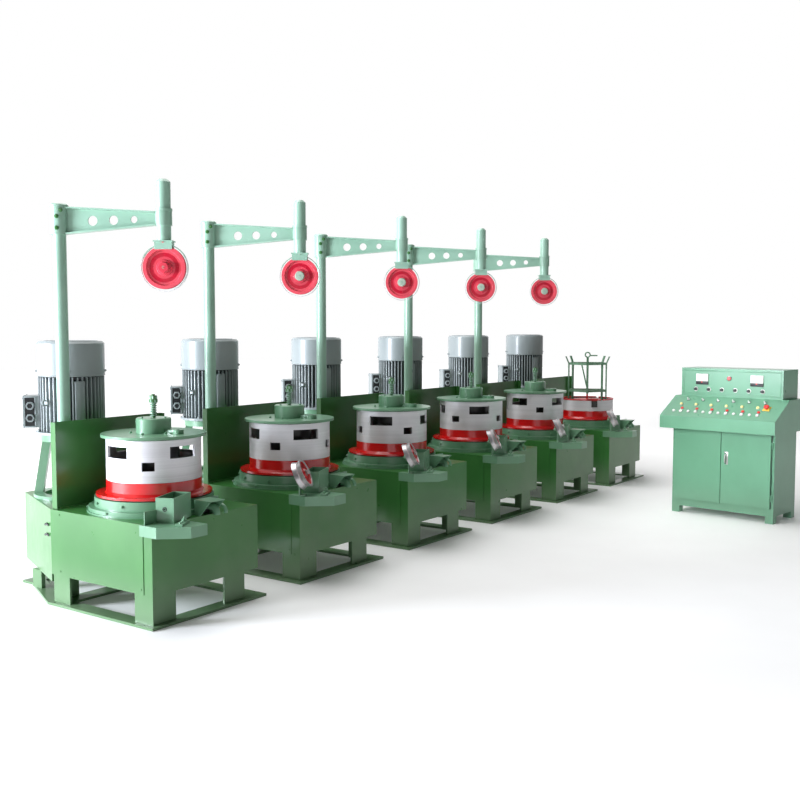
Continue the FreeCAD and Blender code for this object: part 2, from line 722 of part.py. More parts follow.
def die_tray():
    """Shallow tray: its sheet laps onto the housing top, its lip hangs outside."""
    plan = tray_points("0")
    plan += [("-box_side + tray_right", "-box_face + 24"), ("-box_side + 24", "-box_face + 24"),
             ("-box_side + 24", "-box_face + 60")]
    top = bind(prism("XY_Plane", plan, "tray_thick"), z="box_top")
    edge = tray_points("0") + list(reversed(tray_points("tray_thick")))
    lip = bind(prism("XY_Plane", edge, "tray_lip"), z="box_top - tray_lip")
    return join(top, lip)


def die_box(shift):
    """Open box that holds the die, with a wire hole in each end, cut out over the pedestal."""
    outer = box("die_long", "die_wide", "die_high")
    inner = box("die_long - 2 * die_wall", "die_wide - 2 * die_wall", "die_high",
                "die_wall", "die_wall", "die_wall")
    hole = rod("wire_hole", "die_long", y="die_wide / 2", z="die_high * 0.55", along="x")
    case = cut(outer, inner, hole)
    placed = copy_of(case, "-box_side + die_x + " + shift, "-box_face + die_y", "tray_top",
                     turn="die_turn")
    return cut(placed, rod("low_ring + 2", "low_ring_height + 2", z="box_top"),
               rod("base_ring + 2", "flange_thick + 2", z="box_top"))


def tray_clamp():
    """Clamp bar with its stud and nut at the tray's front edge."""
    bar = join(box("118", "40", "14"), rod("7", "40", "88", "20", "0"), rod("13", "10", "88", "20", "14"))
    return copy_of(bar, "-box_side + 68", "-box_face - 170", "tray_top", turn="28")


def wing_plate():
    """Low upright sheet beside the first die box, where the rod enters."""
    return box("die_x - 20", "5", "74", "-box_side - 22", "-box_face + die_y + die_wide - 14", "tray_top")


def water_cover():
    """Sheet cover over the water outlet: two cheeks, a lid that juts out, and a back plate."""
    corners = [("0", "0"), ("-hood_back", "0"), ("-hood_back - hood_out", "hood_high"), ("0", "hood_high")]
    cheeks = [bind(prism("YZ_Plane", corners, "hood_sheet"), x=x)
              for x in ("0", "hood_long - hood_sheet")]
    lid = box("hood_long", "hood_back + hood_out", "hood_sheet", "0", "-hood_back - hood_out",
              "hood_high - hood_sheet")
    back = box("hood_wall", "hood_sheet", "hood_high", "0", "-hood_sheet")
    return copy_of(join(*cheeks, lid, back), "-box_side + hood_x", "-box_face + hood_back", "box_top")


def water_pipe(radius, x):
    """Pipe from the cover's back plate out over the housing's edge, ending in a downward elbow."""
    run = "hood_back - hood_sheet + 10"
    bend = doc.addObject("Part::Torus", "Bend")
    bend.Placement.Rotation = FreeCAD.Rotation(FreeCAD.Vector(0, 0, 1), FreeCAD.Vector(0, -1, 0),
                                               FreeCAD.Vector(1, 0, 0), "XYZ")
    bind(bend, Radius1="pipe_bend", Radius2=radius, Angle3="90", y="-10", z="-pipe_bend")
    stem = rod(radius, run, y="-10", along="y")
    mouth = rod(radius, "8", y="-10 - pipe_bend", z="-pipe_bend - 8")
    return copy_of(join(bend, stem, mouth), "-box_side + " + x, "-box_face", "box_top + pipe_height")


def water_pipes():
    return [water_pipe("pipe", "pipe_x"), water_pipe("small_pipe", "small_pipe_x")]


def guide_bracket():
    """Bent strip with a foot, and the tilted axle that carries the guide pulley.

    Modelled with the pulley's axis in the XZ plane, on the tray.
    """
    sink = "sin(guide_tilt)"
    climb = "cos(guide_tilt)"
    tall = "strip_height"
    strip = prism("XZ_Plane", [("0", "0"), ("0", tall),
                               ("-74 * %s" % sink, "%s + 74 * %s" % (tall, climb)),
                               ("-74 * {s} + strip_thick * {c}".format(s=sink, c=climb),
                                "{t} + 74 * {c} + strip_thick * {s}".format(t=tall, s=sink, c=climb)),
                               ("strip_thick", tall), ("strip_thick", "0")], "strip_wide", middle=True)
    foot = box("46", "strip_wide", "strip_thick", "0", "-strip_wide / 2", "0")
    axle = rod("axle * 0.6", "strip_thick + guide_wide + 28", z="-strip_thick - 14")
    head = rod("axle", "8", z="-strip_thick - 8")
    nut = rod("axle", "9", z="guide_wide + 12")
    axle_set = join(axle, head, nut)
    lean = doc.addObject("Part::Compound", "Lean")
    lean.Links = [axle_set]
    turned_to(lean, (0, 1, 0), 90)
    bind(lean, turn="90 - guide_tilt",
         x="strip_thick * {c} - 46 * {s}".format(s=sink, c=climb),
         z="{t} + 46 * {c} + strip_thick * {s}".format(t=tall, s=sink, c=climb))
    return join(strip, foot, lean)


def guide_pulley():
    wheel = pulley("guide", "guide_wide", "axle * 0.6 + running", "12")
    lean = doc.addObject("Part::Compound", "Lean")
    lean.Links = [wheel]
    turned_to(lean, (0, 1, 0), 90)
    sink = "sin(guide_tilt)"
    climb = "cos(guide_tilt)"
    out = "(strip_thick + guide_wide / 2 + 6)"
    return bind(lean, turn="90 - guide_tilt",
                x="{o} * {c} - 46 * {s}".format(o=out, s=sink, c=climb),
                z="strip_height + 46 * {c} + {o} * {s}".format(o=out, s=sink, c=climb))


def on_tray(piece, number):
    return copy_of(piece, "%d * pitch - box_side + guide_x" % (number - 1), "-box_face + guide_y",
                   "tray_top", "guide_plane")


# ---------------------------------------------------------------- coil stripper

def cage_upright(low):
    """Flat bar from a height up to the upper ring, with its tip bent outwards."""
    out = [("cage - cage_bar", low), ("cage", low), ("cage", "cage_high"),
           ("cage + cage_flare", "cage_tip"), ("cage + cage_flare - cage_bar", "cage_tip"),
           ("cage - cage_bar", "cage_high")]
    return prism("XZ_Plane", out, "cage_wide", middle=True)


def cage_turns():
    """Directions of the front bar and of the four long bars behind it."""
    return ["cage_front + %d" % turn for turn in (0, 75, 130, 230, 285)]


def cage_ring(height):
    """Straight bars from upright to upright, all round."""
    turns = cage_turns()
    corners = [("(cage - 1) * cos(%s)" % turn, "(cage - 1) * sin(%s)" % turn) for turn in turns]
    inner = [("(cage - 1 - 1.25 * cage_bar) * cos(%s)" % turn,
              "(cage - 1 - 1.25 * cage_bar) * sin(%s)" % turn) for turn in turns]
    hoop = cut(prism("XY_Plane", corners, "cage_wide"), prism("XY_Plane", inner, "cage_wide"))
    return copy_of(hoop, z="%s - cage_wide / 2" % height)


def cage_cross_bar():
    """Bar from the front upright, on +X, across the axis to the back of the ring."""
    return box("1.63 * cage - cage_bar", "cage_bar", "cage_wide", "-cage * 0.63", "-cage_bar / 2")


def lifting_hook():
    """Cross bar on the upper ring with a stem, a round eye and a handle."""
    across = copy_of(cage_cross_bar(), z="cage_high - cage_wide / 2", turn="cage_front")
    stem = rod("hook_bar + 3", "hook_height - hook", z="cage_high")
    eye = doc.addObject("Part::Torus", "Eye")
    turned_to(eye, (1, 0, 0), 90)
    bind(eye, Radius1="hook", Radius2="hook_bar", z="cage_high + hook_height")
    handle = rod("hook_bar", "84", "hook - 4", "0", "cage_high + hook_height - 8", along="x")
    return [across, stem, copy_of(eye, turn="cage_front + 90"),
            copy_of(handle, turn="cage_front + 90")]


def stripper():
    """Cage of flat bars that stands in the take-up drum and holds the finished coil."""
    turns = cage_turns()
    front = copy_of(cage_upright("cage_low - cage_wide"), turn=turns[0])
    tall = cage_upright("cage_foot")
    others = [copy_of(tall, turn=turn) for turn in turns[1:]]
    brace = prism("XZ_Plane", [("-cage * 0.71", "cage_high"), ("-cage * 0.71 + cage_bar", "cage_high"),
                               ("cage_bar", "cage_low"), ("0", "cage_low")], "cage_bar", middle=True)
    seat = copy_of(cage_cross_bar(), z="cage_low - cage_wide / 2", turn="cage_front")
    return join(front, *others, cage_ring("cage_high"), cage_ring("cage_low"), seat,
                copy_of(brace, turn="cage_front + 27"), *lifting_hook())


# ---------------------------------------------------------------- console

def at_console(piece):
    return copy_of(piece, "desk_x", "desk_y", turn="desk_turn")


def hinge_heights():
    return ("door_low + hinge_end", "door_low + door_high - hinge_end - 2 * knuckle_high")


def cabinet():
    """Open-fronted cabinet on four feet, with the fixed halves of the door hinges."""
    outer = box("cabinet_width", "cabinet_depth", "cabinet_top - foot_height", z="foot_height")
    inner = box("cabinet_width - 2 * cabinet_wall", "cabinet_depth - cabinet_wall",
                "door_high + 4", "cabinet_wall", "0", "door_low - 2")
    feet = [box("70", "70", "foot_height", x, y)
            for x in ("0", "cabinet_width - 70") for y in ("0", "cabinet_depth - 70")]
    hinges = [piece for x in ("hinge_x", "cabinet_width - hinge_x")
              for z in hinge_heights() for piece in fixed_hinge(x, z)]
    return join(cut(outer, inner), *feet, *hinges)


def fixed_hinge(x, z):
    """Leaf on the cabinet, and a lower knuckle with the pin standing in it."""
    return [box("16", "4", "2 * knuckle_high", x + " - 8", "-4", z),
            box("6", "hinge_out", "knuckle_high", x + " - 3", "-hinge_out", z),
            rod("knuckle", "knuckle_high", x, "-hinge_out", z),
            rod("hinge_pin", "2 * knuckle_high", x, "-hinge_out", z)]


def door_hinge(z):
    """Upper knuckle on the door's edge, bored for the pin."""
    low = z + " + knuckle_high + 0.3"
    body = join(rod("knuckle", "knuckle_high - 1", "hinge_x", "-hinge_out", low),
                box("door_edge - hinge_x + 1", "6", "knuckle_high - 1", "hinge_x", "-hinge_out - 3", low))
    return cut(body, rod("hinge_pin + running", "knuckle_high - 1", "hinge_x", "-hinge_out", low))


def door(side):
    """Flat door with a knuckle at each hinge; the right one has the handle, by the meeting edge."""
    front = "-door_back - door_thick"
    pieces = [box("door_wide", "door_thick", "door_high", "door_edge", front, "door_low")]
    pieces += [door_hinge(z) for z in hinge_heights()]
    if side == "left":
        return join(*pieces)
    pieces.append(box("16", "26", "95", "door_edge + door_wide - 46", front + " - 26",
                      "door_low + door_high * 0.56"))
    flipped = doc.addObject("Part::Mirroring", "Flipped")
    flipped.Source = join(*pieces)
    flipped.Normal = FreeCAD.Vector(1, 0, 0)
    moved = doc.addObject("Part::Compound", "RightDoor")
    moved.Links = [flipped]
    return bind(moved, x="cabinet_width")


def desk():
    """Desk with its sloped top, and the narrower back panel on it."""
    top = prism("YZ_Plane", [("-desk_reach", "cabinet_top"), ("-desk_reach", "apron_top"),
                             ("panel_y", "slope_top"), ("cabinet_depth", "slope_top"),
                             ("cabinet_depth", "cabinet_top")], "desk_width")
    bind(top, x="(cabinet_width - desk_width) / 2")
    panel = box("cabinet_width", "cabinet_depth - panel_y", "panel_height", "0", "panel_y", "slope_top")
    return join(top, panel)


def controls():
    """Meters, knobs and lamp on the back panel; switches, lamps and buttons on the slope."""
    pieces = []
    face = "panel_y"
    for share in (0.13, 0.87):
        pieces.append(box("120", "10", "110", "cabinet_width * %g - 60" % share, face + " - 10",
                          "slope_top + 100"))
    pieces.append(rod("26", "10", "cabinet_width / 2", face + " - 10", "slope_top + 175", along="y"))
    for step in range(6):
        pieces.append(rod("19", "24", "cabinet_width * %g" % (0.15 + 0.14 * step), face + " - 24",
                          "slope_top + 48", along="y"))
    slope = [desk_button("cabinet_width * %g" % (0.1 + 0.16 * step), share, radius, height)
             for step in range(6)
             for share, radius, height in ((0.82, "9", "16"), (0.62, "13", "12"),
                                           (0.42, "12", "12"), (0.22, "12", "12"))]
    slope.append(desk_button("cabinet_width * 1.015", 0.35, "22", "26"))
    return pieces + slope


def desk_button(x, share, radius, height):
    """A round button square to the desk slope, at a share of the way up it."""
    thing = rod(radius, height)
    holder = doc.addObject("Part::Compound", "Button")
    holder.Links = [thing]
    turned_to(holder, (1, 0, 0), 30)
    return bind(holder, x=x, y="-desk_reach + slope_run * %g" % share,
                z="apron_top + slope_rise * %g" % share, turn="atan(slope_rise / slope_run)")


# ---------------------------------------------------------------- the machine

def build_blocks():
    on_blocks("floor_cross_bars", EVERY, *cross_bars())
    on_blocks("floor_side_bars", EVERY, *side_bars())
    on_blocks("base_legs", EVERY, *legs())
    on_blocks("block_housings", EVERY, housing())
    on_blocks("side_covers", EVERY, side_cover())
    on_blocks("rear_housings", EVERY, rear_housing())
    on_blocks("drum_pedestals", EVERY, pedestal())
    on_blocks("guard_plates", EVERY, guard_plate())
    on_blocks("pulley_posts", DRAWING, post())
    on_blocks("pulley_arms", DRAWING, arm())
    on_blocks("motor_frames", EVERY, on_motor(motor_frame()))
    on_blocks("motor_cowls", EVERY, on_motor(motor_cowl()))
    on_blocks("terminal_boxes", EVERY, on_motor(terminal_box()))
    on_blocks("motor_stools", EVERY, on_motor(motor_stool()))
    on_blocks("die_trays", EVERY, die_tray())
    later_box = die_box("die_shift")
    clamp = tray_clamp()
    node("die_boxes", at_block(die_box("0"), 1), *[at_block(later_box, number) for number in GUIDED],
         *[at_block(clamp, number) for number in EVERY])
    node("entry_plate", wing_plate())
    on_blocks("water_covers", EVERY, water_cover())
    on_blocks("water_pipes", EVERY, *water_pipes())
    bracket = guide_bracket()
    node("guide_brackets", *[on_tray(bracket, number) for number in GUIDED])


def build_turning():
    long_drum = drum("disc_low - turn_gap", "hub_top + spindle_height")
    nuts = spindle_nut()
    long_shell = shell()
    disc_set = top_disc()
    hanging = hanger()
    wheel = overhead_pulley()
    for number in DRAWING:
        node("drum_%d" % number, at_block(long_drum, number), at_block(nuts, number))
        node("drum_shell_%d" % number, at_block(long_shell, number, WINDOWS[number]))
        node("top_disc_%d" % number, at_block(disc_set, number))
        node("pulley_hanger_%d" % number, on_hanger(hanging, number))
        node("overhead_pulley_%d" % number, on_hanger(wheel, number))
    node("drum_6", *[at_block(piece, TAKE_UP) for piece in
                     (drum("short_top", "short_top + 60"), take_up_rim(), take_up_plate())])
    node("drum_shell_6", at_block(short_shell(), TAKE_UP))
    node("coil_stripper", at_block(stripper(), TAKE_UP))
    small_wheel = guide_pulley()
    for number in GUIDED:
        node("guide_pulley_%d" % number, on_tray(small_wheel, number))


def build_console():
    node("console_cabinet", at_console(cabinet()))
    node("console_desk", at_console(desk()))
    node("console_door_left", at_console(door("left")))
    node("console_door_right", at_console(door("right")))
    node("console_controls", *[at_console(piece) for piece in controls()])


def check_document():
    """Stop if any object failed or any sub-part's shape is missing or broken."""
    for thing in doc.Objects:
        if {"Invalid", "Error"} & set(thing.State):
            raise RuntimeError("%s (%s) failed" % (thing.Name, thing.Label))
    for thing in nodes:
        if thing.Shape.isNull() or not thing.Shape.isValid():
            raise RuntimeError("%s has no valid shape" % thing.Label)


def write_parts():
    os.makedirs("parts", exist_ok=True)
    for thing in nodes:
        thing.Shape.exportStep("parts/%s.step" % thing.Label)
        size = thing.Shape.BoundBox
        print("%-20s %2d solids  %.4f m3  x %.0f..%.0f  y %.0f..%.0f  z %.0f..%.0f" % (
            thing.Label, len(thing.Shape.Solids), thing.Shape.Volume / 1e9,
            size.XMin, size.XMax, size.YMin, size.YMax, size.ZMin, size.ZMax))


fill_sheet()
build_blocks()
build_turning()
build_console()
doc.recompute()
check_document()
write_parts()
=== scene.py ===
# %% [markdown]
# # A wire drawing machine
# Six upright drawing blocks stand in a straight line, with a control console in front of them.
# The construction comes as a frame of named nodes on named bodies.  This lesson gives the frame
# its finishes, and adds the fine pieces that a CAD model leaves out: fins, springs, bolts, dials
# and buttons.

# %% Load the frame
import bmesh
import bpy
import json
from math import atan2, cos, pi, radians, sin, sqrt
from mathutils import Matrix, Vector


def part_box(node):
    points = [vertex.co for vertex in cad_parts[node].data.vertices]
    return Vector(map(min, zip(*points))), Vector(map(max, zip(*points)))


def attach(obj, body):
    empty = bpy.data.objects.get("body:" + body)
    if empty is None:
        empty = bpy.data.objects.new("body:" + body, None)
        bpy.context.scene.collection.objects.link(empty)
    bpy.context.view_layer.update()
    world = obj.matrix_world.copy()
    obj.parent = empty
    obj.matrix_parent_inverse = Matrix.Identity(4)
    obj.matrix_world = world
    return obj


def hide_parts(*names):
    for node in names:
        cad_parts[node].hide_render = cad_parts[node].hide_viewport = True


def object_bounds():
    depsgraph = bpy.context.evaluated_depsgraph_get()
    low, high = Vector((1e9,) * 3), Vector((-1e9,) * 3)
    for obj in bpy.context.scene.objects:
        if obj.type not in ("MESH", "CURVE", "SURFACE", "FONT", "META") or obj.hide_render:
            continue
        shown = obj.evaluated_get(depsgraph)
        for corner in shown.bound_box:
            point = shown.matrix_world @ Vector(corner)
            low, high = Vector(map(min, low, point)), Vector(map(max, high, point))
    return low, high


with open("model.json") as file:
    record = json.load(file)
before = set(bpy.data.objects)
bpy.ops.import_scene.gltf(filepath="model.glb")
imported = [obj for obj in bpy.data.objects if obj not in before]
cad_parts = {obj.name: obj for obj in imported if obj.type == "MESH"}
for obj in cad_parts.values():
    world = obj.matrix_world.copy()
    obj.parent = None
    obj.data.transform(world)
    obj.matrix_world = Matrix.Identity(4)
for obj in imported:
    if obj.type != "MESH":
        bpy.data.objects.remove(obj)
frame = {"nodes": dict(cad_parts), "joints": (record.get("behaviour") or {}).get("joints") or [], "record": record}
cad_low, cad_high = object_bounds()
joints = {joint["name"]: joint for joint in frame["joints"]}

# %% [markdown]
# The blocks repeat at one pitch.  Reading the pitch and the main heights from the frame, instead
# of typing them again, keeps every added piece on its carrier if the construction changes.

# %% Read the main places
LINE = "machine_line"
BLOCKS = range(1, 7)
DRAWING = range(1, 6)
GUIDED = range(2, 7)


def axis_of(number):
    """Foot of a block's drum axis."""
    low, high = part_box("drum_%d" % number)
    return Vector(((low.x + high.x) / 2, (low.y + high.y) / 2, 0))


AXES = {number: axis_of(number) for number in BLOCKS}
HOUSING_LOW, HOUSING_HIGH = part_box("block_housings")
HOUSING_SIDE = AXES[1].x - HOUSING_LOW.x
HOUSING_TOP = HOUSING_HIGH.z
COWL_LOW, COWL_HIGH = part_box("motor_cowls")
MOTOR_Y = (COWL_LOW.y + COWL_HIGH.y) / 2
COWL_RADIUS = (COWL_HIGH.y - COWL_LOW.y) / 2
print("pitch %.3f m, housing top %.3f m, motor axis %.3f m back"
      % (AXES[2].x - AXES[1].x, HOUSING_TOP, MOTOR_Y))

# %% [markdown]
# ## Camera, floor and light
# The line is seen from its entry end, a little in front and from standing height, with a
# longish lens.  A camera can be aimed with Euler angles or with a tracking quaternion; the
# quaternion takes a plain direction, which is easier to read.

# %% Camera
def add_object(name, data):
    """Put an object into the scene."""
    thing = bpy.data.objects.new(name, data)
    bpy.context.scene.collection.objects.link(thing)
    return thing


CAMERA_PLACE = Vector((-4.025, -4.682, 1.656))
CAMERA_YAW = radians(35.43)
CAMERA_PITCH = radians(-4.18)
lens = bpy.data.cameras.new("line_camera")
lens.lens = 45.045
lens.sensor_width = 36
lens.clip_end = 100
camera = add_object("line_camera", lens)
aim = Vector((cos(CAMERA_YAW) * cos(CAMERA_PITCH),
              sin(CAMERA_YAW) * cos(CAMERA_PITCH), sin(CAMERA_PITCH)))
camera.location = CAMERA_PLACE
camera.rotation_euler = aim.to_track_quat("-Z", "Y").to_euler()
bpy.context.scene.camera = camera
print("camera looks along", [round(part, 3) for part in aim])

# %% [markdown]
# ## Shader maths in words
# A material here is a small sum: a base colour, plus dust, minus wear.  Wiring each Math node by
# hand hides that sum.  The first class below wraps a socket and overloads the operators, so that
# `1 - mask` or `noise * 0.2` adds the Math node for us.  One `node` method adds every other node.

# %% The shader helper
class Value:
    """A shader socket, or a number, that can be used in sums."""

    def __init__(self, sheet, socket):
        self.sheet = sheet
        self.socket = socket

    def _sum(self, kind, first, second):
        node = self.sheet.node("ShaderNodeMath", {"operation": kind}, {0: first, 1: second})
        return node.out(0)

    def __add__(self, other):
        return self._sum("ADD", self, other)

    def __radd__(self, other):
        return self._sum("ADD", other, self)

    def __sub__(self, other):
        return self._sum("SUBTRACT", self, other)

    def __rsub__(self, other):
        return self._sum("SUBTRACT", other, self)

    def __mul__(self, other):
        return self._sum("MULTIPLY", self, other)

    def __rmul__(self, other):
        return self._sum("MULTIPLY", other, self)

    def __abs__(self):
        return self.sheet.node("ShaderNodeMath", {"operation": "ABSOLUTE"}, {0: self}).out(0)


class Node:
    """A node whose outputs are asked for as values."""

    def __init__(self, sheet, node):
        self.sheet = sheet
        self.node = node

    def out(self, name):
        return Value(self.sheet, self.node.outputs[name])


class Sheet:
    """A node tree that is being wired."""

    def __init__(self, owner):
        owner.use_nodes = True
        self.tree = owner.node_tree

    def node(self, kind, settings=None, inputs=None):
        """Add a node: its settings, such as an operation or a ramp's stops, then its inputs."""
        made = self.tree.nodes.new(kind)
        for name, setting in (settings or {}).items():
            if name == "stops":
                self._stops(made.color_ramp, setting)
            else:
                setattr(made, name, setting)
        for name, value in (inputs or {}).items():
            self.feed(made.inputs[name], value)
        return Node(self, made)

    def _stops(self, ramp, stops):
        while len(ramp.elements) < len(stops):
            ramp.elements.new(0.5)
        for element, (place, colour) in zip(ramp.elements, stops):
            element.position = place
            element.color = (*colour, 1)

    def feed(self, socket, value):
        if isinstance(value, Value):
            self.tree.links.new(value.socket, socket)
        elif isinstance(value, (tuple, list)) and socket.type == "RGBA":
            socket.default_value = (*value[:3], 1)
        else:
            socket.default_value = value


MIX_SHARE, MIX_FIRST, MIX_SECOND, MIX_COLOUR = 0, 6, 7, 2


class Finish(Sheet):
    """A material under construction: its surface shader and what feeds it."""

    def __init__(self, name):
        self.material = bpy.data.materials.new(name)
        super().__init__(self.material)
        self.surface = self.tree.nodes["Principled BSDF"]

    def set(self, **inputs):
        """Feed the surface shader, Base_Color for Base Color, and give the material."""
        for name, value in inputs.items():
            self.feed(self.surface.inputs[name.replace("_", " ")], value)
        return self.material

    def spot(self):
        """A surface point's place on the machine, in metres."""
        return self.node("ShaderNodeTexCoord").out("Object")

    def noise(self, scale, detail=4.0, rough=0.5, stretch=(1, 1, 1)):
        place = self.node("ShaderNodeMapping", None, {"Vector": self.spot(), "Scale": stretch})
        return self.node("ShaderNodeTexNoise", None,
                         {"Vector": place.out("Vector"), "Scale": scale, "Detail": detail,
                          "Roughness": rough}).out("Fac")

    def ramp(self, value, *stops):
        return self.node("ShaderNodeValToRGB", {"stops": stops}, {"Fac": value}).out("Color")

    def between(self, value, low, high):
        """0 below low, 1 above high, and smooth in between."""
        return self.node("ShaderNodeMapRange", {"interpolation_type": "SMOOTHSTEP"},
                         {"Value": value, "From Min": low, "From Max": high}).out("Result")

    def blend(self, share, first, second):
        """The first colour where the share is 0, the second where it is 1."""
        return self.node("ShaderNodeMix", {"data_type": "RGBA"},
                         {MIX_SHARE: share, MIX_FIRST: first, MIX_SECOND: second}).out(MIX_COLOUR)

    def bump(self, height, strength, distance, under=None):
        inputs = {"Height": height, "Strength": strength, "Distance": distance}
        if under is not None:
            inputs["Normal"] = under
        return self.node("ShaderNodeBump", None, inputs).out("Normal")

    def axes(self):
        """The three coordinates of a point on the machine, as values."""
        split = self.node("ShaderNodeSeparateXYZ", None, {"Vector": self.spot()})
        return split.out("X"), split.out("Y"), split.out("Z")

# %% [markdown]
# The floor is one pale sheet and the room is white, brighter behind the line than in front of it.
# One tall soft panel stands past the entry end, a little to the back.  The enamel mirrors it in
# every left face, which turns those faces pale, and the front faces stay in shade, so the corner
# of every housing reads clearly.  A second panel overhead lifts the tops and the floor, and a
# small lamp that the camera does not see lifts the console.

# %% Floor, room and lights
def gap_from(finish, centre):
    """Distance of a surface point from a fixed point, in metres."""
    return finish.node("ShaderNodeVectorMath", {"operation": "DISTANCE"},
                       {0: finish.spot(), 1: tuple(centre)}).out("Value")


FLOOR_DARK, FLOOR_LIGHT = (0.88,) * 3, (0.92,) * 3
GLOW_NEAR, GLOW_AWAY, GLOW_BEHIND = (0.06,) * 3, (0.36,) * 3, (0.6,) * 3


def floor_finish():
    """Pale sheet that runs out into the white of the room, away from the machine."""
    finish = Finish("pale_floor")
    mottle = finish.noise(1.5, detail=3.0)
    away = finish.between(gap_from(finish, (0, 0, 0)), 3.2, 6.5)
    behind = finish.between(finish.axes()[1], 2.0, 5.0)
    glow = finish.blend(behind, finish.blend(away, GLOW_NEAR, GLOW_AWAY), GLOW_BEHIND)
    return finish.set(Base_Color=finish.ramp(mottle, (0.3, FLOOR_DARK), (0.7, FLOOR_LIGHT)),
                      Roughness=0.75, Emission_Strength=1.0, Emission_Color=glow)


def as_mesh(name, mesh, material):
    """Put a finished bmesh into the scene."""
    data = bpy.data.meshes.new(name)
    mesh.to_mesh(data)
    mesh.free()
    data.materials.append(material)
    return add_object(name, data)


FLOOR_HALF = 30.0
sheet = bmesh.new()
bmesh.ops.create_grid(sheet, x_segments=4, y_segments=4, size=FLOOR_HALF)
floor = as_mesh("floor", sheet, floor_finish())
middle = (cad_low + cad_high) / 2
floor.location = (middle.x, middle.y, cad_low.z - 0.001)


def soft_light(name, place, target, size, power, colour=(1, 1, 1)):
    data = bpy.data.lights.new(name, "AREA")
    data.shape = "RECTANGLE"
    data.size, data.size_y = size
    data.energy = power
    data.color = colour
    lamp = add_object(name, data)
    lamp.location = place
    lamp.rotation_euler = (Vector(target) - Vector(place)).to_track_quat("-Z", "Y").to_euler()
    return lamp


def room():
    """A white room that lights the machine more from behind than from the front.

    Seen directly it is plain white all round, so that every view has the same background.
    """
    world = bpy.data.worlds.new("studio")
    bpy.context.scene.world = world
    sheet = Sheet(world)
    way = sheet.node("ShaderNodeTexCoord").out("Generated")
    back = sheet.node("ShaderNodeSeparateXYZ", None, {"Vector": way}).out("Y")
    lit = sheet.node("ShaderNodeMapRange", {"interpolation_type": "SMOOTHSTEP"},
                     {"Value": back, "From Min": -0.1, "From Max": 0.2,
                      "To Min": 0.10, "To Max": 1.0}).out("Result")
    seen = sheet.node("ShaderNodeLightPath").out("Is Camera Ray")
    white = sheet.node("ShaderNodeMath", {"operation": "MAXIMUM"}, {0: lit, 1: seen})
    shade = sheet.tree.nodes["Background"]
    sheet.feed(shade.inputs["Strength"], white.out(0))
    sheet.feed(shade.inputs["Color"], (1, 1, 1))


room()
bpy.context.scene.view_settings.view_transform = "Standard"
soft_light("entry_panel", (-6.2, 4.4, 1.9), (0.0, 0.0, 1.0), (2.5, 2.0), 1300,
           (0.94, 0.99, 1.10))
soft_light("top_panel", (2.0, 1.6, 7.5), (2.4, 0.4, 0.0), (8.0, 4.0), 400)
console_light = soft_light("console_light", (0.6, -2.15, 1.7), (4.6, -1.95, 0.75), (1.4, 1.4), 9)
console_light.data.spread = radians(36)
console_light.visible_camera = False
print("room and lights set")

# %% [markdown]
# ## Machine enamel
# Almost every static piece wears the same gloss enamel.  A flat green would look like plastic.
# Real enamel has a slow change of tone, dust low down and in patches, a fine orange-peel surface,
# gentle waves where the sheet is thin, and a few chips down to the primer.  The housings are the
# deepest green.  The fittings on them, the overhead gear and the console wear paler copies of the
# same enamel, palest on the overhead gear: painted light, for the stronger light on those parts.

# %% Enamel
GREEN = (0.048, 0.185, 0.044)
DEEP_GREEN = (0.036, 0.155, 0.034)
DUST = (0.42, 0.44, 0.38)
PRIMER = (0.24, 0.25, 0.22)
RED = (0.70, 0.010, 0.012)
DEEP_RED = (0.60, 0.007, 0.010)


def add_wear(finish, colour, amount=1.0):
    """Dust near the floor and in slow patches, then small chips; returns colour and chip mask."""
    height = finish.axes()[2]
    patches = finish.between(finish.noise(1.7, detail=6.0), 0.5, 0.78)
    low = 1 - finish.between(height, 0.0, 0.35)
    dusty = finish.blend(patches * (0.10 * amount) + low * (0.22 * amount), colour, DUST)
    spots = finish.noise(55.0, detail=8.0, rough=0.62)
    where = finish.between(finish.noise(3.1, detail=2.0), 0.54, 0.62)
    chips = finish.between(spots * where, 0.70, 0.72)
    return finish.blend(chips * amount, dusty, PRIMER), chips


def paint(finish, light, deep, wear):
    """A coat that changes tone slowly and is then worn: its tone, colour and chips."""
    tone = finish.between(finish.noise(2.3, detail=5.0), 0.32, 0.68)
    colour, chips = add_wear(finish, finish.blend(tone, deep, light), wear)
    return tone, colour, chips


def enamel(name, light, deep, rough=0.30, wave=0.10, wear=1.0):
    finish = Finish(name)
    _, colour, chips = paint(finish, light, deep, wear)
    gloss = finish.noise(14.0, detail=5.0) * 0.12 + (rough - 0.06)
    waves = finish.bump(finish.noise(4.2, detail=2.0), wave, 0.004)
    peel = finish.bump(finish.noise(420.0, detail=2.0), 0.045, 0.0006, waves)
    nicks = finish.bump(1 - chips, 0.25, 0.0008, peel)
    return finish.set(Base_Color=colour, Roughness=gloss + chips * 0.35, Normal=nicks,
                      Specular_IOR_Level=0.38, Coat_Roughness=0.14, Coat_Weight=0.15)


green = enamel("green_enamel", GREEN, DEEP_GREEN)
# Lit copies of the same green, paler for the fittings, palest for the overhead gear and springs, and one for the
# console: painted light.
paler_lit_green = enamel("paler_lit_enamel", (0.165, 0.330, 0.205), (0.125, 0.270, 0.160), wave=0.05)
palest_lit_green = enamel("palest_lit_enamel", (0.300, 0.480, 0.375), (0.245, 0.415, 0.315),
                    wave=0.02, wear=0.5)
console_lit_green = enamel("console_lit_enamel", (0.130, 0.320, 0.205), (0.115, 0.285, 0.180),
                       wave=0.03, wear=0.4)
red = enamel("red_enamel", RED, DEEP_RED, rough=0.16, wave=0.03, wear=0.3)
print("enamels made")

# %% [markdown]
# ## Drawn-wire steel
# The drum shells are hardened steel that the wire polishes in rings.  Fine rings need no
# coordinates of their own: noise that is squeezed along Z and stretched along X and Y gives
# them, because every drum stands upright.

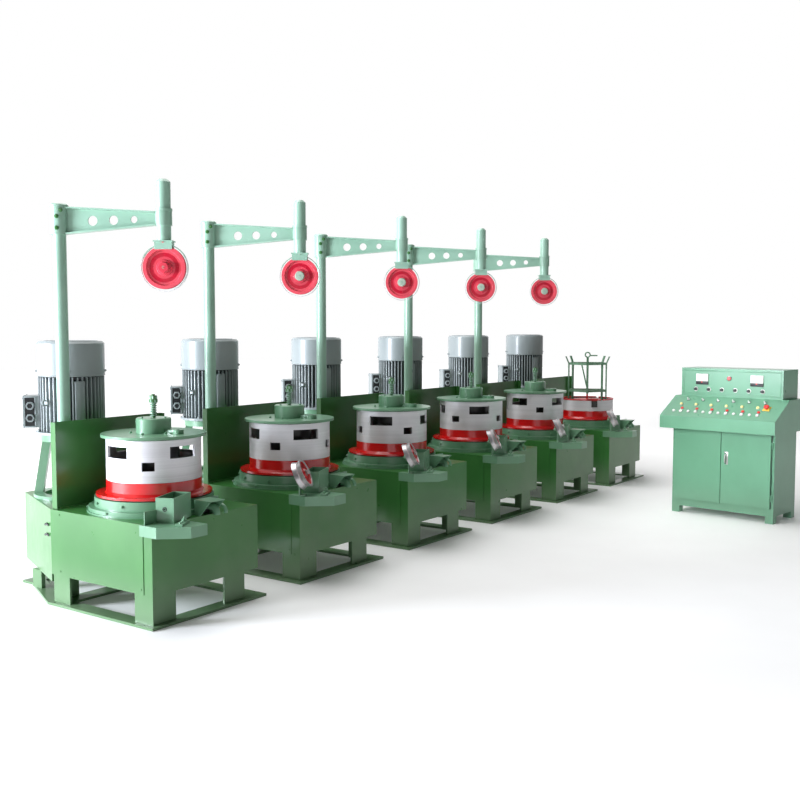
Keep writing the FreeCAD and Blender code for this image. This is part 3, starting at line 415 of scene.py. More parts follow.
# %% Steel finishes
def ringed_steel(name, colour, dark, rough):
    finish = Finish(name)
    rings = finish.noise(1.0, detail=6.0, rough=0.7, stretch=(1.2, 1.2, 260.0))
    bands = finish.noise(1.0, detail=3.0, stretch=(0.6, 0.6, 22.0))
    smear = finish.noise(5.0, detail=5.0)
    tone = finish.between(rings * 0.35 + bands * 0.4 + smear * 0.25, 0.36, 0.64)
    return finish.set(Base_Color=finish.blend(tone, dark, colour), Metallic=0.35,
                      Roughness=rings * 0.22 + (rough - 0.1) + smear * 0.08,
                      Normal=finish.bump(rings, 0.06, 0.0006))


def bare_steel(name, colour, rough=0.32):
    finish = Finish(name)
    smear = finish.noise(22.0, detail=6.0, rough=0.65)
    fine = finish.noise(300.0, detail=3.0)
    dark = tuple(part * 0.72 for part in colour)
    return finish.set(Base_Color=finish.blend(finish.between(smear, 0.35, 0.7), dark, colour),
                      Metallic=0.9, Roughness=smear * 0.2 + (rough - 0.1),
                      Normal=finish.bump(fine, 0.08, 0.0003))


silver = ringed_steel("drum_silver", (0.82, 0.81, 0.845), (0.67, 0.66, 0.69), 0.42)
steel = bare_steel("bare_steel", (0.55, 0.55, 0.54))
dark_steel = bare_steel("dark_steel", (0.16, 0.16, 0.165), rough=0.45)
print("steels made")

# %% [markdown]
# ## Motor grey and pulley red
# The motors have a flatter, factory-sprayed grey.  The overhead wheels are red castings: the paint
# is brightest on the proud rim and the web.  The turned recess between them, and a thin ring round
# the boss, are painted dark red: painted shade.  Separate meshes could carry those rings, but they
# are one casting, so the finish reads the distance from the wheel's centre and changes colour there.

# %% Grey and ringed finishes
grey = enamel("motor_grey", (0.30, 0.335, 0.34), (0.25, 0.285, 0.29),
              rough=0.36, wave=0.03, wear=0.7)


def wear_finish(node, material):
    """Give a node of the frame one finish in place of its plain one."""
    data = frame["nodes"][node].data
    data.materials.clear()
    data.materials.append(material)


def ringed_paint(name, centre, rings, metal_from, rough=0.2):
    """Colour in rings, each with its inner radius, and bare metal from a radius outwards."""
    finish = Finish(name)
    gap = gap_from(finish, centre)
    colour = rings[0][1]
    for radius, tint in rings[1:]:
        colour = finish.blend(finish.between(gap, radius - 0.0012, radius + 0.0012), colour, tint)
    bright = finish.between(gap, metal_from, metal_from + 0.003)
    scuffs = finish.noise(60.0, detail=6.0)
    grime = finish.between(finish.noise(9.0, detail=4.0), 0.35, 0.65)
    worn = finish.blend(grime * 0.16, colour, (0.10, 0.09, 0.08))
    return finish.set(Base_Color=finish.blend(scuffs * bright * 0.5, worn, (0.30, 0.29, 0.30)),
                      Metallic=bright * 0.7, Roughness=scuffs * 0.16 + (rough - 0.03),
                      Normal=finish.bump(scuffs, 0.05, 0.0004), Coat_Weight=0.2)


NO_METAL = 0.127 * 1.2  # outside the wheel, so that none of it shows bare
RIM_RED = (0.80, 0.085, 0.120)
WEB_RED = (0.72, 0.060, 0.095)
# Dark red in the turned recess and in a thin ring round the boss: painted shade.
SHADE_RED = (0.52, 0.005, 0.028)
for number in DRAWING:
    wear_finish("overhead_pulley_%d" % number, ringed_paint(
        "overhead_wheel_%d" % number, joints["overhead_pulley_spin_%d" % number]["pos_m"],
        [(0.0, RIM_RED), (0.030, SHADE_RED), (0.036, WEB_RED), (0.066, SHADE_RED),
         (0.089, RIM_RED)], NO_METAL))
print("wheels painted")

# %% [markdown]
# The small guide pulleys are steel with red cheeks: the tread that the wire runs in is bare, and
# so is the hub.  Each drum's lower ring is red, the core inside the shell is painted near black,
# painted shade inside the drum, and the spindle above it is green.

# %% Guide pulley and drum finishes
GUIDE_TREAD = 0.083
GUIDE_HUB, GUIDE_CHEEK, GUIDE_BARE = (0.62, 0.50, 0.52), (0.52, 0.012, 0.016), (0.66, 0.64, 0.66)
for number in GUIDED:
    wear_finish("guide_pulley_%d" % number, ringed_paint(
        "guide_wheel_%d" % number, joints["guide_pulley_spin_%d" % number]["pos_m"],
        [(0.0, GUIDE_HUB), (0.034, GUIDE_CHEEK), (GUIDE_TREAD, GUIDE_BARE)],
        GUIDE_TREAD, rough=0.26))
SPINDLE_HALF = 0.026


def drum_finish(name, axis, shell_low, red_from):
    """Red ring below, core inside the shell near black as painted shade, green spindle on the axis."""
    finish = Finish(name)
    across, deep, height = finish.axes()
    tone, painted, chips = paint(finish, RED, DEEP_RED, 0.3)
    # Near black inside the shell: painted shade.
    inner_shade = finish.blend(finish.noise(30.0, detail=6.0), (0.012,) * 3, (0.05, 0.048, 0.045))
    inside = finish.between(height, shell_low - 0.001, shell_low + 0.001)
    rim = finish.between(height, red_from - 0.001, red_from + 0.001)
    colour = finish.blend(inside * (1 - rim), painted, inner_shade)
    off_x, off_y = (finish.between(abs(gap), SPINDLE_HALF, SPINDLE_HALF + 0.001)
                    for gap in (across - axis.x, deep - axis.y))
    above = finish.between(height, shell_low + 0.2, shell_low + 0.201)
    return finish.set(Base_Color=finish.blend((1 - off_x) * (1 - off_y) * above, colour, GREEN),
                      Roughness=tone * 0.1 + (inside * 0.3 + 0.14),
                      Normal=finish.bump(1 - chips, 0.2, 0.0008),
                      Coat_Weight=0.25, Coat_Roughness=0.12)


OWN_FINISHES = {}
ABOVE_ALL = 3.0  # no point of the machine is this high
for number in BLOCKS:
    shell_low, shell_high = (corner.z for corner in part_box("drum_shell_%d" % number))
    OWN_FINISHES["drum_%d" % number] = drum_finish(
        "drum_body_%d" % number, AXES[number], shell_low,
        shell_high - 0.002 if number == 6 else ABOVE_ALL)
print("guide pulleys and drums finished")

# %% [markdown]
# The hangers are green, but the round guard strap under each overhead wheel is a bare pale strip.
# It is part of the hanger, so its finish looks at the distance from the wheel's axis.

# %% Hanger finishes
STRAP_FROM = 0.131


def hanger_finish(name, centre):
    finish = Finish(name)
    # The hanger's paint is a pale lit copy of the green: painted light.
    tone, painted, chips = paint(finish, (0.330, 0.530, 0.420), (0.270, 0.460, 0.350), 0.5)
    below = 1 - finish.between(finish.axes()[2], centre[2] + 0.055, centre[2] + 0.060)
    strap = below * finish.between(gap_from(finish, centre), STRAP_FROM, STRAP_FROM + 0.001)
    bare = finish.blend(finish.noise(40.0, detail=5.0), (0.55, 0.57, 0.57), (0.74, 0.76, 0.75))
    return finish.set(Base_Color=finish.blend(strap, painted, bare), Roughness=tone * 0.1 + 0.28,
                      Normal=finish.bump(1 - chips, 0.2, 0.0008),
                      Coat_Weight=0.25, Coat_Roughness=0.12)


for number in DRAWING:
    OWN_FINISHES["pulley_hanger_%d" % number] = hanger_finish(
        "hanger_%d" % number, joints["overhead_pulley_spin_%d" % number]["pos_m"])
print("hangers finished")

# %% Finishes on the frame's own nodes
# Nodes that wear the lit copies of the green, which paint light onto them.
PALER_LIT_NODES = ("top_disc", "drum_pedestals", "die_trays", "die_boxes", "water", "guide_brackets",
             "motor_stools", "entry_plate", "coil_stripper")
PALEST_LIT_NODES = ("pulley_posts", "pulley_arms")
SLOTS = {"green_enamel": green, "red_enamel": red, "silver_steel": silver, "motor_grey": grey,
         "pulley_steel": steel, "control_plastic": grey}


def finish_for(name, slot):
    """The finish of a node: its own, or its family's, or the plain one of its slot."""
    if name in OWN_FINISHES:
        return OWN_FINISHES[name]
    if name.startswith(PALER_LIT_NODES):
        return paler_lit_green
    if name.startswith(PALEST_LIT_NODES):
        return palest_lit_green
    if name.startswith("console") and slot == "green_enamel":
        return console_lit_green
    return SLOTS[slot]


SOFTENED = ("block_housings", "side_covers", "rear_housings", "guard_plates", "die_trays",
            "die_boxes", "base_legs", "top_disc", "motor_stools", "console_cabinet",
            "console_desk", "console_door")


def soften_edges(name):
    """Round the sharp edges by a hair, so that they catch the light as folded sheet does."""
    bevel = frame["nodes"][name].modifiers.new("soft_edges", "BEVEL")
    bevel.width = 0.0022
    bevel.segments = 2
    bevel.limit_method = "ANGLE"
    bevel.angle_limit = radians(40)
    bevel.harden_normals = True


for subpart in frame["record"]["subparts"]:
    name, slot = subpart["node"], subpart["material_slot"]
    if not name.startswith(("overhead_pulley", "guide_pulley")):
        wear_finish(name, finish_for(name, slot))
    if name.startswith(SOFTENED):
        soften_edges(name)
print("finished", len(frame["nodes"]), "nodes")

# %% [markdown]
# ## Building fine pieces
# The small pieces share a few shapes: a block with softened edges, a turned profile, a hex bolt
# and a bent rod.  Each helper below adds its shape to one mesh, so a hundred bolts can be one
# piece.

# %% Mesh helpers
def add_block(mesh, low, high, matrix=Matrix(), soften=0.0):
    """A box between two corners, with its edges softened."""
    low, high = Vector(low), Vector(high)
    made = bmesh.ops.create_cube(mesh, size=1.0)["verts"]
    bmesh.ops.scale(mesh, vec=high - low, verts=made)
    bmesh.ops.translate(mesh, vec=(low + high) / 2, verts=made)
    if soften > 0:
        edges = list(dict.fromkeys(edge for vert in made for edge in vert.link_edges))
        made = bmesh.ops.bevel(mesh, geom=edges, offset=soften, segments=2, profile=0.5,
                               affect="EDGES")["verts"]
    bmesh.ops.transform(mesh, matrix=matrix, verts=made)


def add_turned(mesh, profile, matrix=Matrix(), steps=32):
    """A closed ring of quads from an outline of radius and height, about Z."""
    rows = []
    for step in range(steps):
        angle = 2 * pi * step / steps
        rows.append([mesh.verts.new(matrix @ Vector((radius * cos(angle),
                                                     radius * sin(angle), height)))
                     for radius, height in profile])
    for step in range(steps):
        here, after = rows[step], rows[(step + 1) % steps]
        for index in range(len(profile) - 1):
            corners = [here[index], after[index], after[index + 1], here[index + 1]]
            if profile[index][0] < 1e-9:
                corners = [here[index], after[index + 1], here[index + 1]]
            elif profile[index + 1][0] < 1e-9:
                corners = [here[index], after[index], here[index + 1]]
            mesh.faces.new(corners)


def disc(radius, low, high):
    return [(0, low), (radius, low), (radius, high), (0, high)]


def ring_outline(inner, outer, low, high):
    """The outline of a flat washer."""
    return [(inner, low), (outer, low), (outer, high), (inner, high), (inner, low)]


def add_hex(mesh, across, low, high, matrix=Matrix(), dome=0.12):
    """A hexagon head or nut with its top corners turned off."""
    radius = across / sqrt(3)
    chamfer = radius * dome
    profile = [(0, low), (radius, low), (radius, high - chamfer), (radius - chamfer, high),
               (0, high)]
    add_turned(mesh, profile, matrix, steps=6)


def add_bolt(mesh, across, matrix=Matrix()):
    """A washer, a hex head standing on +Z, and the thread end on top."""
    washer = across * 0.68
    add_turned(mesh, disc(washer, 0, across * 0.08), matrix, 20)
    add_hex(mesh, across, across * 0.08, across * 0.62, matrix)
    thread = across * 0.28
    add_turned(mesh, [(0, across * 0.6), (thread, across * 0.6), (thread, across * 0.78),
                      (thread * 0.8, across * 0.84), (0, across * 0.84)], matrix, 12)


def circle(steps):
    """The angles of a closed circle, the first and the last the same."""
    return [2 * pi * step / steps for step in range(steps + 1)]


def add_rod(mesh, points, radius, steps=12):
    """A round bar through points, with a mitred joint at each."""
    points = [Vector(point) for point in points]
    rings = []
    side = None
    for index, point in enumerate(points):
        before = (point - points[index - 1]).normalized() if index else None
        after = (points[index + 1] - point).normalized() if index + 1 < len(points) else None
        along = ((before or after) + (after or before)).normalized()
        if side is None:
            side = along.orthogonal().normalized()
        side = (side - along * side.dot(along)).normalized()
        other = along.cross(side)
        rings.append([mesh.verts.new(
            point + (side * cos(turn) + other * sin(turn)) * radius)
                      for turn in circle(steps)[:-1]])
    for here, after in zip(rings, rings[1:]):
        for step in range(steps):
            follows = (step + 1) % steps
            mesh.faces.new([here[step], here[follows], after[follows], after[step]])
    mesh.faces.new(list(reversed(rings[0])))
    mesh.faces.new(rings[-1])


def piece(name, mesh, material, body=LINE, slot="green_enamel", smooth=30, replaces=()):
    """Turn a mesh into a piece that rides on a body."""
    bmesh.ops.remove_doubles(mesh, verts=mesh.verts, dist=1e-6)
    bmesh.ops.recalc_face_normals(mesh, faces=mesh.faces)
    thing = as_mesh(name, mesh, material)
    data = thing.data
    for face in data.polygons:
        face.use_smooth = True
    data.set_sharp_from_angle(angle=radians(smooth))
    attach(thing, body)
    for node in replaces:
        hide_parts(node)
    print("made %-22s %6d faces" % (name, len(data.polygons)))
    return thing


def move(x, y, z):
    return Matrix.Translation((x, y, z))


def spin(turn, axis="Z"):
    return Matrix.Rotation(turn, 4, axis)


def at(place, turn=0.0):
    """A matrix that turns about Z and then moves to a place."""
    return Matrix.Translation(Vector(place)) @ spin(turn)


def facing(place, way):
    """A matrix that moves to a place, with +Z along a direction."""
    return Matrix.Translation(place) @ way.to_track_quat("Z", "Y").to_matrix().to_4x4()


QUARTER = pi / 2


# %% [markdown]
# ## Finned motors
# A flange motor's frame is cast with upright fins all round, a smooth flat bar between them, and a
# lifting eye.  The frame node is a plain drum of the right size, so these pieces replace it.  The
# fins could be cut with a boolean, but a thin block for each fin is quicker and leaves clean
# faces.  The casting between the fins is a second piece in a far darker grey: painted shade
# between the fins.

# %% Motor frames
FRAME_LOW, FRAME_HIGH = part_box("motor_frames")
FRAME_RADIUS = COWL_RADIUS - 0.004
CORE_RADIUS = FRAME_RADIUS - 0.030
FLANGE_RADIUS = FRAME_RADIUS + 0.0195
FLANGE_THICK = 0.018
FIN_COUNT = 42
FIN_THICK = 0.009
BAR_TURN = radians(248)
EYE_TURN = radians(187)
EYE_HEIGHT = 1.18
EYE_RADIUS = 0.017


def all_blocks(name, shape, material, blocks=BLOCKS, **facts):
    """One piece that holds the same shape on each block, about its drum axis."""
    mesh = bmesh.new()
    for number in blocks:
        shape(mesh, AXES[number])
    return piece(name, mesh, material, **facts)


def all_motors(name, shape, material, **facts):
    """The same, about the motor's axis."""
    return all_blocks(name, lambda mesh, foot: shape(mesh, foot + Vector((0, MOTOR_Y, 0))),
                      material, slot="motor_grey", **facts)


def around(centre, radius, height, turn):
    """A place on a circle, with +X pointing outwards."""
    return at(centre, turn) @ move(radius, 0, height)


def outwards(centre, radius, height, turn):
    """A place on an upright round wall, with +Z pointing out of it."""
    return around(centre, radius, height, turn) @ spin(QUARTER, "Y")


def motor_core(mesh, centre):
    bottom, top = FRAME_LOW.z + FLANGE_THICK, FRAME_HIGH.z
    profile = [(0, bottom), (CORE_RADIUS + 0.012, bottom), (CORE_RADIUS, bottom + 0.017),
               (CORE_RADIUS, top - 0.03), (CORE_RADIUS + 0.014, top - 0.018),
               (CORE_RADIUS + 0.014, top), (0, top)]
    add_turned(mesh, profile, at(centre), steps=64)


def motor_fins(mesh, centre):
    bottom, top = FRAME_LOW.z, FRAME_HIGH.z
    flange = [(0, bottom), (FLANGE_RADIUS - 0.002, bottom), (FLANGE_RADIUS, bottom + 0.002),
              (FLANGE_RADIUS, bottom + 0.016), (FLANGE_RADIUS - 0.002, bottom + FLANGE_THICK),
              (0, bottom + FLANGE_THICK)]
    add_turned(mesh, flange, at(centre), steps=64)
    for step in range(FIN_COUNT):
        turn = at(centre, 2 * pi * (step + 0.5) / FIN_COUNT)
        add_block(mesh, (CORE_RADIUS - 0.004, -FIN_THICK / 2, bottom + 0.02),
                  (FRAME_RADIUS, FIN_THICK / 2, top - 0.006), turn, soften=0.0018)
    for step in range(8):
        add_bolt(mesh, 0.019, around(centre, FLANGE_RADIUS - 0.016, bottom + FLANGE_THICK,
                                     pi * (step + 0.5) / 4))
    add_block(mesh, (FRAME_RADIUS - 0.034, -0.032, bottom + 0.09),
              (FRAME_RADIUS + 0.001, 0.032, top - 0.03), at(centre, BAR_TURN), soften=0.006)
    stub = outwards(centre, FRAME_RADIUS - 0.02, EYE_HEIGHT, EYE_TURN)
    add_turned(mesh, [(0, 0), (0.017, 0), (0.017, 0.026), (0.012, 0.030), (0, 0.030)],
               stub, steps=16)
    ring = [stub @ Vector((EYE_RADIUS * cos(turn), 0, 0.040 + EYE_RADIUS * sin(turn)))
            for turn in circle(20)]
    add_rod(mesh, ring, 0.0055, steps=8)


# Near-black grey for the casting between the fins: painted shade.
fin_shade_grey = enamel("motor_fin_shade", (0.045, 0.050, 0.055), (0.025, 0.028, 0.030),
                  rough=0.6, wear=0.4)
all_motors("motor_cores", motor_core, fin_shade_grey, replaces=("motor_frames",))
all_motors("motor_finned_frames", motor_fins, grey, replaces=("motor_frames",))

# %% [markdown]
# The fan cowl is a pressed cap.  It has a rolled edge at the bottom, four small screws that hold
# it to the frame, and a grille of rings over the fan at the top.

# %% Fan cowls
BEAD = ((-0.002, -0.002), (0.0025, 0), (0.003, 0.004), (0.001, 0.008), (-0.003, 0.008),
        (-0.002, -0.002))


def cowl_trim(mesh, centre):
    low, high = COWL_LOW.z, COWL_HIGH.z
    bead = [(COWL_RADIUS + out, low + up) for out, up in BEAD]
    add_turned(mesh, bead, at(centre), steps=72)
    for step in range(4):
        for side in (-0.09, 0.09):
            turn = radians(225 + 90 * step) + side
            add_bolt(mesh, 0.013, outwards(centre, COWL_RADIUS, low + 0.030, turn))
    for radius in (0.045, 0.075, 0.105, 0.135, 0.165):
        ring = [at(centre) @ Vector((radius * cos(turn), radius * sin(turn),
                                     high + 0.001)) for turn in circle(48)]
        add_rod(mesh, ring, 0.0028, steps=6)
    for step in range(4):
        spoke = around(centre, 0.0, high + 0.0005, pi * step / 2 + 0.4)
        add_block(mesh, (0.03, -0.003, -0.002), (0.175, 0.003, 0.002), spoke, soften=0.0008)


all_motors("motor_cowl_trim", cowl_trim, grey)

# %% [markdown]
# The terminal box has a screwed lid on its outer side.  The two cable glands are hexagonal nuts;
# the cables themselves lead away and are left out.  Their open mouths and the recessed gland face
# inside its border are painted near black: painted shade.

# %% Terminal boxes
BOX_TURN = radians(-42)
BOX_LOW = FRAME_LOW.z + 0.045
BOX_HIGH = BOX_LOW + 0.200
BOX_DEEP = 0.082
BOX_WIDE = 0.160
GLAND_GAP = 0.078


BOX_OUTER = -FRAME_RADIUS - BOX_DEEP
BOX_FRONT = -BOX_WIDE / 2
BOX_MIDDLE = (BOX_LOW + BOX_HIGH) / 2
BORDER = 0.010


def gland_places(centre):
    return [at(centre, BOX_TURN) @ move(-FRAME_RADIUS - BOX_DEEP / 2, BOX_FRONT,
                                        BOX_MIDDLE + side * GLAND_GAP / 2)
            @ spin(QUARTER, "X") for side in (-1, 1)]


def box_face(mesh, centre):
    """A raised border round the gland face, a lid on the outer face, and its screws."""
    turn = at(centre, BOX_TURN)
    inner, outer, front = -FRAME_RADIUS - 0.004, BOX_OUTER, BOX_FRONT
    side_low, side_high = BOX_LOW + 0.009, BOX_HIGH - 0.009
    for left, right, low, high in ((outer, inner, BOX_LOW, BOX_LOW + BORDER),
                                   (outer, inner, BOX_HIGH - BORDER, BOX_HIGH),
                                   (outer, outer + BORDER, side_low, side_high),
                                   (inner - BORDER, inner, side_low, side_high)):
        add_block(mesh, (left, front - 0.003, low), (right, front + 0.002, high), turn,
                  soften=0.001)
    add_block(mesh, (outer - 0.003, front - 0.003, BOX_LOW - 0.003),
              (outer + 0.006, -front + 0.003, BOX_HIGH + 0.003), turn, soften=0.002)
    for across in (front + 0.015, -front - 0.015):
        for height in (BOX_LOW + 0.015, BOX_HIGH - 0.015):
            add_hex(mesh, 0.010, 0, 0.005,
                    turn @ move(outer - 0.003, across, height) @ spin(-QUARTER, "Y"))


def gland_nuts(mesh, centre):
    for place in gland_places(centre):
        add_turned(mesh, [(0.015, -0.002), (0.0275, -0.002), (0.0275, 0.012), (0.025, 0.019),
                          (0.018, 0.019), (0.0155, 0.010), (0.015, -0.002)], place, steps=6)


# Painted shade: a near-black plate on the gland face inside its border, and a dark disc in each open gland mouth.
def paint_gland_shade(mesh, centre):
    add_block(mesh, (BOX_OUTER + 0.008, BOX_FRONT - 0.001, BOX_LOW + 0.008),
              (-FRAME_RADIUS - 0.012, BOX_FRONT + 0.002, BOX_HIGH - 0.008), at(centre, BOX_TURN))
    for place in gland_places(centre):
        add_turned(mesh, disc(0.017, 0.014, 0.0172), place, 20)


# Near black for painted shade: the open gland mouths and gland face, the inside of each hood and the ring round
# the first wire hole.
shade_black = enamel("shade_black", (0.020, 0.021, 0.022), (0.010, 0.010, 0.011),
                    rough=0.5, wear=0.4)
all_motors("terminal_box_faces", box_face, grey)
all_motors("cable_gland_nuts", gland_nuts, grey)
all_motors("cable_gland_painted_shade", paint_gland_shade, shade_black)

# %% [markdown]
# ## Spindles and top discs
# A coil spring presses each top disc down, held by two hexagon nuts.  A screw modifier could wind
# the spring, but a rod through points on a helix is one line and closes both ends.

# %% Springs, nuts and disc bolts
HUB_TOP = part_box("top_disc_1")[1].z
SPINDLE_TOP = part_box("drum_1")[1].z
DISC_TOP = 1.023
SPRING_TURNS = 6
NUT_ACROSS, NUT_HIGH = 0.046, 0.0195


def spring_points(axis, low, high, radius, steps=18):
    count = SPRING_TURNS * steps
    return [Vector((axis.x + radius * cos(2 * pi * step / steps),
                    axis.y + radius * sin(2 * pi * step / steps),
                    low + (high - low) * step / count)) for step in range(count + 1)]


for number in DRAWING:
    axis = AXES[number]
    mesh = bmesh.new()
    add_rod(mesh, spring_points(axis, HUB_TOP + 0.004, SPINDLE_TOP - 0.054, 0.0165),
            0.0042, steps=8)
    below, above = SPINDLE_TOP - 0.0515, SPINDLE_TOP - 0.0495
    add_turned(mesh, ring_outline(0.011, 0.024, below, above), at(axis), steps=24)
    for low, turn in ((above, 0.3), (SPINDLE_TOP - 0.0285, 0.75)):
        add_hex(mesh, NUT_ACROSS, low, low + NUT_HIGH, at(axis, turn))
    piece("spindle_spring_%d" % number, mesh, palest_lit_green, body="drum_body_%d" % number)
    mesh = bmesh.new()
    for step in range(6):
        add_bolt(mesh, 0.014, around(axis, 0.135, DISC_TOP, radians(20 + 60 * step)))
    for step in range(3):
        add_hex(mesh, 0.013, 0, 0.008, around(axis, 0.078, HUB_TOP, radians(50 + 120 * step)))
    piece("disc_bolts_%d" % number, mesh, paler_lit_green, body="top_disc_body_%d" % number)

# %% [markdown]
# The pedestal under each drum is two stepped rings.  Bolts through their upright walls hold the
# bearing housing inside, and they stand still while the drum turns above them.

# %% Pedestal bolts
def pedestal_bolts(mesh, axis):
    for step in range(10):
        add_bolt(mesh, 0.015, outwards(axis, 0.351, 0.628, radians(18 + 36 * step)))
    for step in range(8):
        add_bolt(mesh, 0.013, outwards(axis, 0.386, 0.590, radians(5 + 45 * step)))


all_blocks("pedestal_bolts", pedestal_bolts, paler_lit_green)

# %% [markdown]
# ## Overhead gear
# The collar at the top of each post has a flat cap, and three pinch bolts on the side that faces
# the entry.  Each overhead wheel shows a round boss: red on the first wheel, pale on the others.

# %% Post caps, wheel bosses and hanger bolts
POST = Vector((-0.264, 0.505, 0))
POST_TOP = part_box("pulley_posts")[1].z
COLLAR_RADIUS = 0.052
COLLAR_LOW = 2.209


def post_cap(mesh, axis):
    centre, top = axis + POST, POST_TOP
    outer = COLLAR_RADIUS + 0.003
    add_turned(mesh, [(0, top - 0.017), (outer, top - 0.017), (outer, top - 0.007),
                      (COLLAR_RADIUS - 0.006, top + 0.001), (0, top + 0.001)],
               at(centre), steps=40)


def collar_bolts(mesh, axis):
    for up, turn in ((0.036, 217), (0.105, 217), (0.142, 243)):
        add_bolt(mesh, 0.019, outwards(axis + POST, COLLAR_RADIUS - 0.001, COLLAR_LOW + up,
                                       radians(turn)))


all_blocks("post_caps", post_cap, palest_lit_green, blocks=DRAWING)
all_blocks("collar_bolts", collar_bolts, green, blocks=DRAWING)
boss_pale = enamel("boss_pale", (0.48, 0.58, 0.47), (0.38, 0.47, 0.38), rough=0.35, wear=0.6)
boss_red = enamel("boss_red", WEB_RED, SHADE_RED, rough=0.3, wear=0.3)
WHEEL_AXIS = Vector((0.8146, 0.5800, 0)).normalized()
for number in DRAWING:
    centre = Vector(joints["overhead_pulley_spin_%d" % number]["pos_m"])
    mesh = bmesh.new()
    add_turned(mesh, [(0, 0.022), (0.031, 0.022), (0.033, 0.024), (0.033, 0.037),
                      (0.028, 0.043), (0.008, 0.044), (0.006, 0.041), (0.004, 0.046), (0, 0.047)],
               facing(centre, -WHEEL_AXIS), steps=32)
    add_bolt(mesh, 0.012, facing(centre + Vector((0, 0, 0.151)) - WHEEL_AXIS * 0.030,
                                 -WHEEL_AXIS))
    piece("wheel_boss_%d" % number, mesh, boss_red if number == 1 else boss_pale,
          body="hanger_body_%d" % number)

# %% [markdown]
# The guide pulleys ride on a tilted axle.  A flanged nut closes each one.

# %% Guide pulley nuts
for number in GUIDED:
    joint = joints["guide_pulley_spin_%d" % number]
    axis = Vector(joint["axis"]).normalized()
    axis = axis if axis.z > 0 else -axis
    face = facing(Vector(joint["pos_m"]) + axis * 0.029, axis)
    mesh = bmesh.new()
    add_turned(mesh, ring_outline(0.0105, 0.020, 0.0005, 0.003), face, 24)
    add_hex(mesh, 0.030, 0.006, 0.0165, face)
    piece("guide_nut_%d" % number, mesh, steel, slot="pulley_steel")

# %% [markdown]
# ## Housing fittings
# Toggle latches hold the side cover to the rear housing, screws run down the cover's edges, and
# the guard sheet stands on two small bolted feet.

# %% Latches, cover screws and guard feet
SKEW = atan2(0.289, 0.680)  # the rear housing's side narrows by this
LATCH_HOOK = ((0.010, 0.020, 0.0), (0.020, 0.012, 0.0), (0.021, -0.012, 0.0),
              (0.012, -0.026, 0.010))


def latches(mesh, axis):
    for side in (-1, 1):
        for height in (0.405, 0.467):
            spot = at((axis.x + side * (HOUSING_SIDE - 0.030), 0.515, height), side * SKEW)
            low, high = sorted((0.0, side * 0.010))
            add_block(mesh, (low, -0.030, -0.007), (high, 0.028, 0.007), spot, soften=0.0015)
            add_rod(mesh, [spot @ Vector((side * x, y, z)) for x, y, z in LATCH_HOOK],
                    0.0045, steps=8)


def cover_screws(mesh, axis):
    for side in (-1, 1):
        face = axis.x + side * (HOUSING_SIDE + 0.004)
        for height in (0.205, 0.545):
            for deep in (-0.36, 0.36):
                place = move(face, deep, height) @ spin(side * QUARTER, "Y")
                add_hex(mesh, 0.010, 0, 0.003, place)


def guard_feet(mesh, axis):
    for x in (-0.385, 0.0, 0.405):
        low = Vector((axis.x + x - 0.022, 0.392, HOUSING_TOP))
        add_block(mesh, low, low + Vector((0.044, 0.043, 0.006)), soften=0.001)
        add_bolt(mesh, 0.014, at(low + Vector((0.022, 0.018, 0.006))))


all_blocks("toggle_latches", latches, dark_steel)
all_blocks("cover_screws", cover_screws, green)
all_blocks("guard_feet", guard_feet, green)

# %% [markdown]
# ## Die boxes and trays
# A clamp bar with a hexagon nut holds each die box, and the tray is screwed down along its back
# edge.  A dark ring round the first wire hole and a black sheet inside every water cover are
# painted shade, for the shade in the hole and inside the hood.

# %% Die box and tray fittings
TRAY_TOP = 0.576


def tray_fittings(mesh, axis):
    turn = at((axis.x - 0.347, -0.620, TRAY_TOP), radians(28))
    for across, x in ((0.026, 0.088), (0.012, 0.020), (0.012, 0.050)):
        add_bolt(mesh, across, turn @ move(x, 0.020, 0.014))
    for x in (-0.38, -0.30, -0.23):
        add_bolt(mesh, 0.012, move(axis.x + x, -0.437, TRAY_TOP))


# A black sheet at the back inside each hood: painted shade.
def paint_hood_shade(mesh, axis):
    low = Vector((axis.x - 0.053, -0.411, HOUSING_TOP + 0.001))
    add_block(mesh, low, low + Vector((0.108, 0.005, 0.085)), soften=0.0005)


def paint_wire_hole_shade(mesh, axis):
    """Painted shade round the wire hole, on the box's entry end."""
    turn = at((axis.x - 0.311, -0.514, TRAY_TOP), radians(23))
    add_turned(mesh, ring_outline(0.008, 0.013, 0, 0.002),
               turn @ move(0.0005, 0.054, 0.077) @ spin(-QUARTER, "Y"), 20)


all_blocks("tray_bolts", tray_fittings, paler_lit_green)
all_blocks("hood_painted_shade", paint_hood_shade, shade_black)
all_blocks("wire_hole_painted_shade", paint_wire_hole_shade, shade_black, blocks=(1,))

# %% [markdown]
# ## The console
# The console stands turned away from the line, so its fittings are placed in its own frame: X
# along its width, Y towards its back.  The two door hinges are joints of the model, and the line
# between them gives that frame without typing the turn again.

# %% The console's own frame
HINGE_IN = 0.016
HINGE_OUT = 0.0145
left_pin = Vector(joints["console_door_left_hinge"]["pos_m"])
right_pin = Vector(joints["console_door_right_hinge"]["pos_m"])
along = (right_pin - left_pin).normalized()
CABINET_WIDE = (right_pin - left_pin).length + 2 * HINGE_IN
console_turn = atan2(along.y, along.x)
deep_way = Vector((-along.y, along.x, 0))
corner = left_pin - along * HINGE_IN + deep_way * HINGE_OUT
CONSOLE = at((corner.x, corner.y, 0), console_turn)
DESK_WIDE = 1.040
DESK_LEFT = (CABINET_WIDE - DESK_WIDE) / 2
PANEL_Y = 0.140
SLOPE_FRONT = Vector((0, -0.150, 0.875))
SLOPE_BACK = Vector((0, 0.140, 1.040))
SLOPE_TURN = atan2(0.165, 0.290)
print("console corner", [round(part, 3) for part in corner], "wide", round(CABINET_WIDE, 3))


